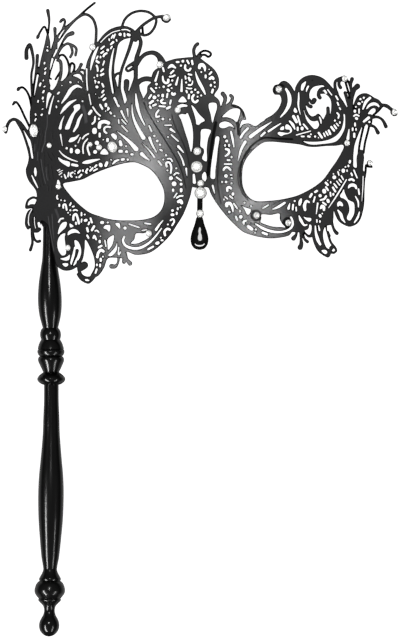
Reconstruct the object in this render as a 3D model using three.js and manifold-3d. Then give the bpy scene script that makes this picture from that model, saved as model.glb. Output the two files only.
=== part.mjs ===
// Stick mask of pierced black metal: one bent sheet, a felt strip, a turned stick,
// a drop and set stones. Millimetres, X to the viewer's right, Y up the face, Z towards the viewer.
// The mask lies on its back edge tips and on the ball of the stick, the inside of the face down.
import * as THREE from "three";
import Module from "manifold-3d";

const wasm = await Module();
wasm.setup();
const { Manifold, Mesh } = wasm;

// Main sizes
const SHEET_THICKNESS = 0.9;
const FACE_RADIUS = 180;
const FACE_AXIS_X = 2;
const FACE_LENGTH_RADIUS = 1200;
const FACE_LENGTH_AXIS_Y = 15;
const NOSE_HEIGHT = 9;
const NOSE_HALF_WIDTH = 13;
const NOSE_TOP_Y = 20;
const NOSE_FADE = 40;
const GAP = 0.3;
const STRIP_GAP = 0.65;
const OUTLINE_TOLERANCE = 0.12;
const SHEET_TOLERANCE = 0.3;
const BEND_TOLERANCE = 0.3;
const SMALLEST_OPENING = 3;

// Strip and stick
const STRIP_LEFT = -79.4;
const STRIP_RIGHT = -69.8;
const STRIP_BOTTOM = -6;
const STRIP_TOP = 50.5;
const STRIP_THICKNESS = 0.9;
const STICK_SIDES = 12;
const FLAT_DEPTH = 0.12;

// Every row is one stroke or one plate of the pattern, read as x, y pairs after the first entry.
// The first entry is the half width of a stroke, or a list of half widths along it, or 0 for a
// closed plate with that outline. x = 0 and y = 0 lie at the bridge of the nose.
const BODY = [
  ["left wing and cheek", [
    [0, -74.5, 91, -76.2, 84.7, -78.7, 74.2, -79.5, 67.1, -81.5, 58.4, -83.4, 52, -83.4, 44, -84.2, 27,
      -85.5, 22.2, -84.3, 17.5, -80.4, 12, -80, 8, -81.8, 3, -82.3, -4, -81.9, -8.8, -78.5, -7,
      -77.5, -3, -72, -9, -71.3, -20, -70, -25.4, -66, -27.8, -61.5, -27, -57.4, -23, -56.1, -17,
      -55.7, -12.4, -51.6, -20.5, -51, -26, -53.2, -31.2, -49.8, -30.8, -46.5, -26.7, -44.4, -21.8,
      -40.5, -21.4, -36.9, -21.5, -35, -18.6, -31, -19.9, -27, -19.8, -23.7, -19, -20.2, -16.9,
      -13.4, -10.3, -9.9, -5, -7.1, -0.5, -5, 4.4, -3.2, 9.7, -2.2, 13.8, 0, 16, 0, 26, -2, 40, -9, 52,
      -20, 57, -26.8, 58, -28.5, 60, -29.5, 66, -31.7, 65, -33.5, 61.2, -36, 55.2, -38, 54.5, -45, 58,
      -54, 61, -56, 63, -58, 67.4, -63.4, 69.3, -68, 66.4, -71.5, 62.5, -73.6, 66, -73.4, 74, -72, 83],
  ]],
  ["crown", [
    [0, -9.5, 46, -16, 45, -22, 50, -26.5, 57.5, -24.9, 61, -24.6, 64, -22.8, 66, -22.3, 70,
      -20.8, 72.2, -17.6, 74, -15.8, 75.9, -10.8, 77.6, -7.4, 78, -2.5, 78.4, 1.4, 77.9, 4.1, 76,
      7.8, 73.1, 9.5, 71.1, 10.8, 68, 11, 65.5, 10.7, 63, 8.6, 59.3, 9.8, 58.2, 11, 56.8, 11.7, 54,
      13, 48, 8, 42, 0, 42],
  ]],
  ["swan neck", [
    [0, -31, 91.5, -34.6, 93.8, -38.1, 94, -43, 92.6, -46.8, 89.6, -49.8, 85.7, -52.3, 81.7, -54.9, 76,
      -55.8, 70, -55.8, 65, -56.3, 61, -50, 55, -42, 55, -39, 56.6, -40.3, 60.1, -41.2, 65.4, -41.6, 70,
      -41.3, 74.2, -40.2, 81, -39, 85.2, -36.5, 87.3, -32.5, 88.6],
  ]],
  ["nose and right column", [
    [0, -9, 50, 2, 46, 11.7, 54, 14, 53.2, 17.6, 54.9, 19.9, 54.4, 21.9, 53.2, 23.3, 51.3, 24.2, 48.7,
      24.5, 47.4, 22.5, 47, 21.6, 45, 21.1, 42.2, 22.5, 44.6, 25.6, 45.4, 29.1, 44.1, 33.3, 46.6,
      45, 45, 45, 30, 45, 15, 45, 8, 49.7, -8.4, 47.4, -8.7, 45.9, -10.3, 42.1, -11.3, 36.9, -11.8,
      31.6, -11.2, 28, -10.4, 23.1, -8.6, 18.3, -4.6, 14.1, -0.1, 10, 5.2, 7, 10.1, 5.5, 13.3, 2, 13.6,
      -2, 13.8, -3, 24, -3.2, 34],
  ]],
  ["right wing", [
    [0, 33.3, 46.6, 37.6, 49.7, 40.2, 52.3, 41.6, 54.9, 42.1, 57.2, 41.2, 59.6, 38.6, 60, 37.7, 62.3,
      38.8, 64.5, 40.6, 65, 41.8, 66.2, 43.4, 66.7, 45.1, 66.1, 46.8, 64.4, 48.1, 62.4, 48.7, 61.3,
      49.1, 63.5, 50.3, 65.8, 52, 67.8, 54.3, 69.1, 57.1, 69.7, 60, 69.3, 62.9, 68.1, 65.2, 66.1,
      67.2, 63.8, 68.3, 62.7, 70.1, 62, 71, 59.5, 73.1, 56.4, 74.6, 53.9, 75.6, 52.6, 77.7, 52.6,
      78.2, 55, 79.1, 57.4, 80.2, 59.2, 82, 60.4, 84.4, 60.7, 86.5, 59.9, 88.6, 58.5, 90.7, 57.6,
      92.1, 56, 93, 54.6, 91.8, 53.5, 90, 51.4, 88, 49.4, 87, 45, 84, 44.5, 81, 41, 79.3, 36, 78.4, 30,
      78.2, 24, 79.6, 23.5, 80, 30, 83.1, 30, 83, 22, 84.4, 21, 84.1, 19, 83.7, 13.7, 83.4, 5,
      82.7, 1.4, 81.6, -2.1, 79.8, -4.5, 76.3, -5.9, 73.2, -4.9, 70.7, -3.1, 69, 0, 68.2, 2.4, 68, -2,
      67.3, -4.8, 63.5, -5, 57.3, -5, 57.5, -10.9, 55.5, -11.3, 54, -10, 52.8, -8.8, 49.6, -8.4, 46, -3,
      44, 8, 46, 28, 34, 36],
  ]],
  ["lower right leaf", [
    [0, 57.4, -4, 57.4, -10.5, 58.4, -14.5, 60.2, -18, 62.4, -19.9, 65.5, -21.3, 66.6, -20, 66.4, -17.6,
      64.6, -16.4, 63, -12, 63, -8, 64.4, -4],
  ]],
];
const CUTS = [
  ["eye openings", [
    [0, -66.7, 15.5, -62, 16.6, -57, 17.7, -52, 20.2, -48.2, 21.8, -43, 23.7, -37.7, 25.3, -33.9, 26,
      -31, 26.1, -27.9, 25.1, -23.7, 22.9, -20.5, 19.7, -18.1, 15.8, -16.7, 12.7, -16.2, 9, -16.7, 4.8,
      -18.3, 1.6, -21.1, -0.8, -24.6, -2.1, -29.2, -2.8, -34.5, -2.9, -39.7, -2.8, -45, -1.9,
      -48.5, -0.8, -53.4, 1, -56.9, 3.5, -60.4, 6.6, -63.9, 10.5, -66.6, 14.3],
    [0, 22.5, 20.4, 22.9, 23.9, 24.2, 27.2, 26.9, 31, 30.2, 34.1, 33.3, 36, 36.9, 36.4, 42.1, 36,
      47.4, 35.5, 51.8, 34.9, 55.3, 34, 58.8, 33.8, 64, 34.3, 69.3, 34.5, 72.8, 34.9, 73.3, 33.9,
      72.1, 31.1, 69.7, 26.9, 67.2, 23.4, 63.3, 17.9, 59.8, 14.8, 55.3, 12, 50, 9.5, 46.5, 8.5,
      40.4, 7.3, 35.1, 6.8, 30.2, 6.6, 27, 7.7, 24.6, 10.1, 23.2, 12.9, 22.6, 15.4],
  ]],
  ["windows beside the nose", [
    [0, -8.2, 49.9, -5.1, 50.9, -3.7, 48.5, -2.4, 44.3, -1.9, 39.7, -2.1, 34.4, -2.4, 30.9, -1.2, 27.4,
      -3, 30.9, -4.4, 36.2, -6.1, 41.4, -7.9, 47.1, -9.1, 49.5],
    [0, -2.9, 54.7, -1.4, 53.4, 1.1, 50, 3.9, 46.8, 2.1, 45.7, 0, 43.9, -0.7, 47.4, -1.7, 50.9],
    [0, 6, 55.4, 9.5, 55.5, 10, 53.4, 8.8, 49.2, 7.7, 45.5, 6.7, 50.2, 5.8, 53.4],
    [0, 2.3, 42.3, 6.9, 41.9, 5.6, 37.9, 4.9, 32.7, 4.7, 26.4, 2.5, 27.8, 3.5, 30.9, 3.2, 32.7,
      1.8, 33.7, 1.8, 37.9],
    [0, 9.5, 38.8, 8.6, 34.4, 7.4, 27.4, 6.7, 20.4, 6.9, 18, 8.8, 17.8, 9.2, 22.2, 9.9, 27.4,
      10.4, 32.7, 11, 38.7],
    [[0.6, 0.85], -1.6, 19.7, -1.3, 16],
    [0, 3.9, 21.3, 4.7, 19.6, 4.6, 17.2, 3.6, 16.2, 2.6, 17.6, 2.6, 19.9],
    [[0.55, 0.3], 7.8, 14.3, 8.8, 10.6],
  ]],
  ["plume slits", [
    [0, -71, 77.6, -72.3, 75.5, -73.1, 73, -73.3, 70.5, -72.9, 68.5, -72.5, 67, -73, 65, -73.3, 62.7,
      -71.5, 62.2, -70.2, 63.8, -68.7, 72.1],
    [0, -68, 78.4, -65.9, 77.3, -64.8, 70, -67.3, 66.4, -67.3, 75.9],
    [[0.2, 0.4], -70.4, 82.2, -71.5, 79.1],
    [0, -74.3, 61.1, -72.5, 60.7, -73.9, 57.2, -75.3, 52],
    [[0.3, 0.45, 0.55], -71.5, 59.3, -72.9, 54.8, -73.8, 50.6],
    [[0.2, 0.4, 0.2], -79, 70.5, -80.3, 65.4, -81.7, 57.3],
    [[0.2, 0.6, 0.5], -86.5, 42.8, -84, 37.9, -82.2, 28.5],
    [[0.5, 0.8, 0.4], -80.8, 23.2, -80.7, 21.5, -80.6, 19.5],
    [[0.3, 0.5, 0.3], -82.5, 19.7, -81, 16.5, -79.4, 13.4],
  ]],
  ["cheek plume windows", [
    [[0.3, 0.9, 1, 0.8, 0.3], -57.4, 63.3, -59.9, 64.2, -62.7, 62.6, -64.8, 59.4, -67.6, 55.6],
    [[0.3, 0.9, 0.9, 0.2], -60.3, 57.4, -63.4, 55.8, -65.9, 53.4, -68.3, 50.2],
    [[0.2, 0.5, 0.8], -66.2, 49.5, -67.6, 46.4, -68.3, 43.2],
    [0, -59.9, 55.1, -58.5, 55.1, -58.3, 53, -60.6, 50.6, -62, 47.4, -63.1, 44.3, -63.8, 42.7,
      -65.9, 42.7, -64.8, 46, -63.1, 49.5, -61.3, 52.3, -61.7, 54.1],
    [[0.5, 0.8, 0.8, 0.5], -57.4, 49.9, -58.9, 47.4, -59.8, 44.5, -61.5, 41.6],
    [0, -58.5, 40.4, -59.9, 37.9, -62.4, 36.2, -64.1, 36.4, -63.1, 38.3, -60.6, 39],
    [[0.45, 0.2], -68.1, 40, -67.1, 34.1],
    [[0.3, 0.45, 0.45, 0.3], -68.7, 32, -66.9, 29.9, -63.4, 27.8, -59.6, 26.5],
    [0, -69.4, 28.8, -66.9, 27.4, -63.4, 26.2, -63.8, 23.9, -66.2, 25, -68.7, 27],
    [0.72, -62.2, 25, -59.8, 24.5],
    [0, -57.4, 25.7, -56.4, 26.7, -52.9, 27.6, -47.8, 27.8, -51.1, 26.4, -54.6, 25.3],
  ]],
  ["swan neck slits", [
    [0.3, -48.1, 85.9, -45.1, 88.9, -41.9, 91, -38.4, 91.9],
    [0.35, -37.5, 92.2, -34.9, 92.2, -32.4, 90.8],
    [[0.3, 0.75, 0.85, 0.6, 0.3], -49.3, 83.7, -50.7, 81, -51.8, 78, -52.6, 75, -53.1, 72.2],
    [0.4, -55, 72.8, -55, 67.1, -54.6, 62.2],
    [0.35, -53.9, 60.1, -52.9, 54.9],
    [[0.25, 0.6, 0.7, 0.55, 0.45], -41.4, 83, -42.4, 78.6, -43.3, 71, -43, 67.4, -41.9, 60.7],
    [[0.55, 0.7], -41.2, 58.2, -39.1, 54.2],
  ]],
  ["cheek slits", [
    [0.45, -51.9, 53.7, -50, 50.9, -48.2, 49.3],
    [[0.6, 0.25], -37.7, 51.6, -36.3, 48.5, -34.6, 46],
    [[0.5, 0.2], -34.7, 52.7, -34.3, 48.5],
    [[0.15, 0.7, 1.2], -40.2, 41.8, -36.7, 39, -33.1, 35.8, -30.3, 32.7],
    [[0.2, 0.7, 1.1], -32.4, 55.1, -32.1, 50.2, -30.7, 45.7, -28.9, 42.1, -26.7, 38.3],
    [[0.35, 0.9, 0.6, 0.4], -30.5, 60.2, -30, 55.5, -28.9, 50.9, -27.5, 47.4, -26, 44.6],
    [[0.7, 0.5, 0.3], -23.7, 38.3, -22.3, 34.8, -20.2, 31.1],
    [[0.2, 0.5], -27.2, 35.5, -24, 32.3, -21.2, 28.6],
    [[1, 0.3], -27.5, 30.2, -25.8, 28.6, -23.7, 27.1],
    [[0.7, 0.3], -13.1, 42.5, -10.9, 40.9],
    [[0.3, 0.5], -9.5, 31.4, -7.5, 27.8, -6.5, 24.6],
    [[0.55, 0.15], -5.4, 22.9, -4.9, 18.6],
    [0.4, -12.8, 39.7, -9.3, 36.5],
    [0, -43, 40, -41.6, 40.6, -39.8, 39, -40.5, 37.2],
  ]],
  ["lower cheek windows", [
    [0, -30.4, -9.4, -26.7, -9.3, -24.6, -8.6, -22.5, -10.7, -24.3, -11.7, -26.7, -13.1, -30.3, -14.5,
      -33.1, -14.3, -31.3, -12.4],
    [[0.5, 0.7, 0.7, 0.5, 0.3], -36.2, -11, -36.9, -12.8, -35.8, -15.2, -32.9, -16.6, -28.9, -16.7,
      -24.4, -14.5, -21.4, -11.7, -19.3, -9.1, -17.6, -6.8],
    [[0.3, 0.7], -16.9, -2.9, -18.7, -5, -20.4, -7.5],
    [0.4, -33.8, -4.7, -28.9, -6.4],
    [0, -41.5, -10.2, -44.6, -12.3, -44.6, -15.1, -44.3, -17.6, -42.9, -16.2, -41.7, -13.4],
    [0, -39.9, -13.4, -40.8, -16.2, -44.3, -20.4, -42.9, -20.7, -40.1, -17.9],
    [0.35, -39, -16.2, -39.3, -19.7],
    [0, -46.7, -6.7, -45.7, -5.3, -43.4, -5.3, -43.2, -7.1, -43.8, -8.5, -45, -7.4],
    [0, -40.8, -4.4, -38.7, -4.3, -38.3, -7.1],
  ]],
  ["ring at lower left", [
    [0, -69.4, -9.9, -68.8, -6.4, -67.1, -3.9, -65, -3.6, -65.3, -6, -67.4, -8.1],
    [0, -65.7, -9.2, -67.8, -9.9, -69.4, -12.3, -69.7, -15.8, -68.8, -18.6, -67.1, -20.4, -65.5, -19.7,
      -65.3, -17.6, -65.7, -14.1, -66, -11.3],
    [0.45, -69, -3.6, -68.1, -2.1, -66.7, -1.8],
    [0, -63.6, -4.3, -61.5, -5.7, -63.2, -6.4],
    [0, -64.5, -10.4, -64.3, -8.5, -62.2, -7.1, -60.1, -7.4, -58.1, -9.5, -60.4, -9, -62.9, -9.5],
    [0, -61.1, -12.7, -59.7, -13, -58.2, -15.4, -57.7, -18.5, -58.5, -21.6, -60, -24, -61.6, -25.5,
      -63, -24.9, -62.3, -22.5, -61.2, -19.5, -60.7, -16.5, -61.1, -14.3],
    [0, -68.5, -21.8, -66, -22.9, -63.9, -22.5, -63.4, -19.7, -64.6, -20.7, -66.7, -21.5],
    [0, -67.3, -24.4, -65.7, -26, -64.3, -25.3, -64.3, -24.3],
    [0.7, -79, -4.2, -78.6, -6],
    [0.25, -81.2, -1.1, -81.1, -4.3, -80.6, -6.7],
  ]],
  ["right column windows", [
    [0, 12.5, 48.5, 15.1, 51.3, 17.3, 52.7, 19.6, 53, 21.2, 52.5, 21.6, 51.3, 21.1, 49, 20.5, 47.4,
      19.8, 46.1, 17.6, 47.6, 14.7, 48.5],
    [0, 11, 43.9, 11.3, 45.3, 12.7, 46.2, 14.4, 46.4, 16.4, 45.7, 17.9, 44.3, 19, 42.1, 17.6, 43.6,
      15.8, 43.9, 14.4, 43.2, 12.3, 43],
    [[0.5, 0.6, 0.3], 16.9, 41.3, 17.7, 37.9, 18.4, 33.6],
    [0.6, 25.4, 43, 23.2, 40.7, 21.7, 38.3],
    [[0.9, 0.8, 0.2], 26.6, 38.8, 31.5, 42.4, 37.4, 46.4],
    [[0.6, 0.5, 0.3], 35.7, 41.5, 38.5, 43.4, 41.8, 45.5],
    [0.55, 32, 39.2, 33.8, 40.9],
    [[0.8, 0.6, 0.2], 24, 36.2, 22.1, 32.7, 20.4, 26.6],
    [0, 21.5, 5.2, 23.5, 3.8, 26.9, 2.4, 26.5, 1, 25.5, -0.1, 24.9, 0.2, 23.8, 2.4, 22.5, 4],
    [0, 32, 0, 36.9, -0.1, 41.1, 0.5, 41.3, -2.2, 42.5, -4.6, 44.2, -6.4, 42.1, -6.2, 37.9, -6,
      34.4, -5, 31.6, -3.6, 32.1, -1.8],
    [[0.3, 0.7, 0.7, 0.6, 0.5, 0.6, 0.5], 29, -4.5, 33.4, -7.1, 38.6, -8.6, 43.2, -8.4, 46.4, -7,
      47.7, -5, 47.5, -2.7, 46.8, -1.3],
    [0.4, 32.8, 3.1, 35.6, 4.8],
    [[0.3, 0.7, 0.6], 37.7, 2.7, 40.4, 3.8, 43.7, 5.9],
  ]],
  ["right wing windows", [
    [[0.6, 1, 1, 0.7, 0.35], 44.4, 62.6, 45.6, 60.5, 46.2, 57.5, 45.8, 54.7, 44.2, 51.6, 41.6, 48.6],
    [[0.3, 0.5, 0.5, 0.4, 0.2], 50.7, 60.9, 50.7, 58, 50.5, 55, 50.9, 52.4, 51.6, 49.8],
    [0, 48.8, 53.5, 50.1, 51.2, 49.1, 50.7, 48.1, 51.6],
    [[0.3, 1, 0.7], 54.2, 66.3, 52.9, 64.3, 52.4, 62.5],
    [[0.5, 0.5, 0.25], 55.5, 64, 54.9, 62.9, 54.5, 61.3],
    [0, 63.3, 64.4, 60, 64.3, 58.3, 63.8, 56.8, 62.4, 56, 60.1, 55.9, 57.5, 53.7, 57.3, 54.2, 54.3,
      54.9, 52, 56, 50, 57.4, 49, 58.9, 49.4, 60.3, 50.4, 61.4, 49.8, 62.4, 48.3, 63.3, 47.2, 64, 48.3,
      64.8, 50, 66.4, 50, 67, 53, 66.8, 57, 65.4, 59.4, 63.8, 61.7],
    [0, 52.7, 53.4, 53.7, 50, 54.8, 46.9, 56.6, 44.6, 58.6, 42.7, 60, 43.1, 60.9, 44.6, 60.7, 46,
      60.1, 46.9, 58.6, 46.6, 56.9, 46.9, 55.5, 48.2, 54.2, 50, 53.5, 52],
    [[0.4, 0.5, 0.3], 61.1, 48.7, 61.7, 47.2, 61.9, 45.5],
    [0, 44.9, 45.1, 46.3, 44.3, 47.4, 42.5, 47.3, 41.3, 45.5, 40.2, 43.5, 39.8, 41.9, 39.1, 40.1, 40.5,
      40.6, 41.2, 42.5, 41.1, 45.4, 40.8, 46.3, 41.4, 46.1, 42.3, 45, 42.4, 44.1, 42.7, 43.9, 43.8,
      44.2, 44.8],
    [0, 43.3, 44.1, 43.3, 42.3, 41.3, 42.3, 41.5, 43.1, 42.3, 43.9],
    [0.8, 48.1, 49, 49.6, 46.3],
    [[0.5, 0.8, 0.35], 46.2, 46.6, 47.8, 44.8, 48.8, 42.6],
    [0.5, 50.2, 49.2, 51.5, 44.8],
    [0.5, 53.1, 45.1, 55.1, 42.8],
    [0.35, 49.5, 39.7, 56.6, 41.7],
    [0, 52.5, 36.8, 54.8, 36.5, 57.7, 36.4, 60.6, 36.5, 63.4, 36.9, 66.3, 37.7, 69.4, 39.5, 71.6, 42,
      72.7, 44.8, 73.2, 48, 73.1, 50.3, 73.7, 50.3, 74, 47, 73.8, 43.4, 72.6, 40.5, 71.2, 38.3,
      69.2, 36.5, 66.3, 35.7, 62, 35.2, 59.1, 34.9, 56.6, 35, 54.8, 35.5],
    [[0.3, 0.8], 75.9, 42.7, 75.3, 38],
    [[0.5, 0.7, 1, 0.9, 0.7], 82.5, 43.4, 81, 39.5, 79.8, 35.6, 79, 30.4, 78.7, 24.4],
    [[0.6, 1.1, 1, 0.7], 84.7, 44.6, 83.5, 40.4, 82.6, 36, 82, 32.7],
    [[0.3, 0.3, 0.2], 82.95, 19.3, 82.8, 14, 82.3, 6.5],
  ]],
  ["shell at right", [
    [[0.4, 0.8, 0.7], 82.8, 52.8, 84.4, 56.5, 86.4, 58.4],
    [[0.3, 0.65, 0.85, 0.75, 0.45], 84.7, 53, 86.2, 54.7, 88.4, 55.5, 90.2, 54.9, 90.8, 54.2],
    [0, 85.3, 50.3, 86.1, 51.8, 87.3, 53, 88.6, 53.3, 89.3, 52.3, 88.6, 50.8, 87.8, 49.8, 86.6, 50.3],
    [[0.8, 0.6], 85.7, 48.5, 83.3, 46.6],
  ]],
  ["snail scroll at right", [
    [0, 73.3, 13, 73.6, 11.5, 74.4, 9.5, 75.6, 7.5, 77, 6.8, 78.3, 6, 78.7, 3, 78.4, 0.5, 77.5, -1.5,
      76.3, -2.9, 75, -2.4, 74.8, -1.2, 75.9, 1.5, 75.9, 4, 75, 6.5, 73.3, 8, 71.7, 8.6, 71.3, 9.5,
      72.3, 11.2],
    [0, 70, 4.3, 69.9, 5.8, 71, 6.8, 72.2, 6.3, 73, 4.8, 72.6, 4.1, 71.2, 4.6, 70.4, 3.9],
    [[0.4, 0.85, 0.75, 0.3], 70.3, 2.3, 71.7, 0.3, 72.4, -1.8, 73.9, -3.9],
    [[0.35, 0.6, 0.4], 81.1, 1.4, 80.2, -1.4, 78.6, -3.8],
    [[0.35, 0.45, 0.25], 74.6, 17.6, 70, 10, 65.6, 3.4],
    [[0.3, 0.8, 0.9, 0.8, 0.6], 75.5, 13.3, 76.3, 14.5, 77.7, 14.9, 79, 14.4, 79.5, 13.3],
    [[0.35, 0.5, 0.35], 79.1, 9.2, 80.4, 6.7, 80.6, 3.9],
    [[0.6, 0.6], 76, 17.4, 77.2, 17.8, 78.3, 17.1],
    [0, 52.9, -0.8, 54.5, -1.4, 56.9, -1.7, 57, -2.8, 56, -3.5, 54.7, -2.9, 53.6, -1.9],
    [[0.3, 0.8, 0.6, 0.4], 50.8, -0.5, 51.9, -3, 53.6, -5.3, 54.8, -5],
    [0, 56, -4.8, 57, -5.2, 57.2, -7, 56.7, -9.2, 55.9, -10.1, 54.6, -9.3, 53.6, -7.9, 55, -7.4,
      55.8, -6.4],
    [[0.35, 0.6, 0.9, 0.6], 59, -5.6, 59.3, -9.1, 60.6, -13.3, 61.5, -14.8],
    [[0.3, 0.5], 60.6, -5.4, 61.1, -7.7],
    [0, 62, -17.9, 63.5, -17.4, 64.8, -18, 65, -19, 64, -19.7, 62.8, -18.9],
    [[0.7, 0.9, 0.7, 0.5], 53.9, 2.4, 53.6, 4.5, 54.6, 6.8, 55.9, 6.2],
    [[0.5, 0.3], 60.2, 5.7, 59.5, 0.4],
  ]],
];
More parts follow.
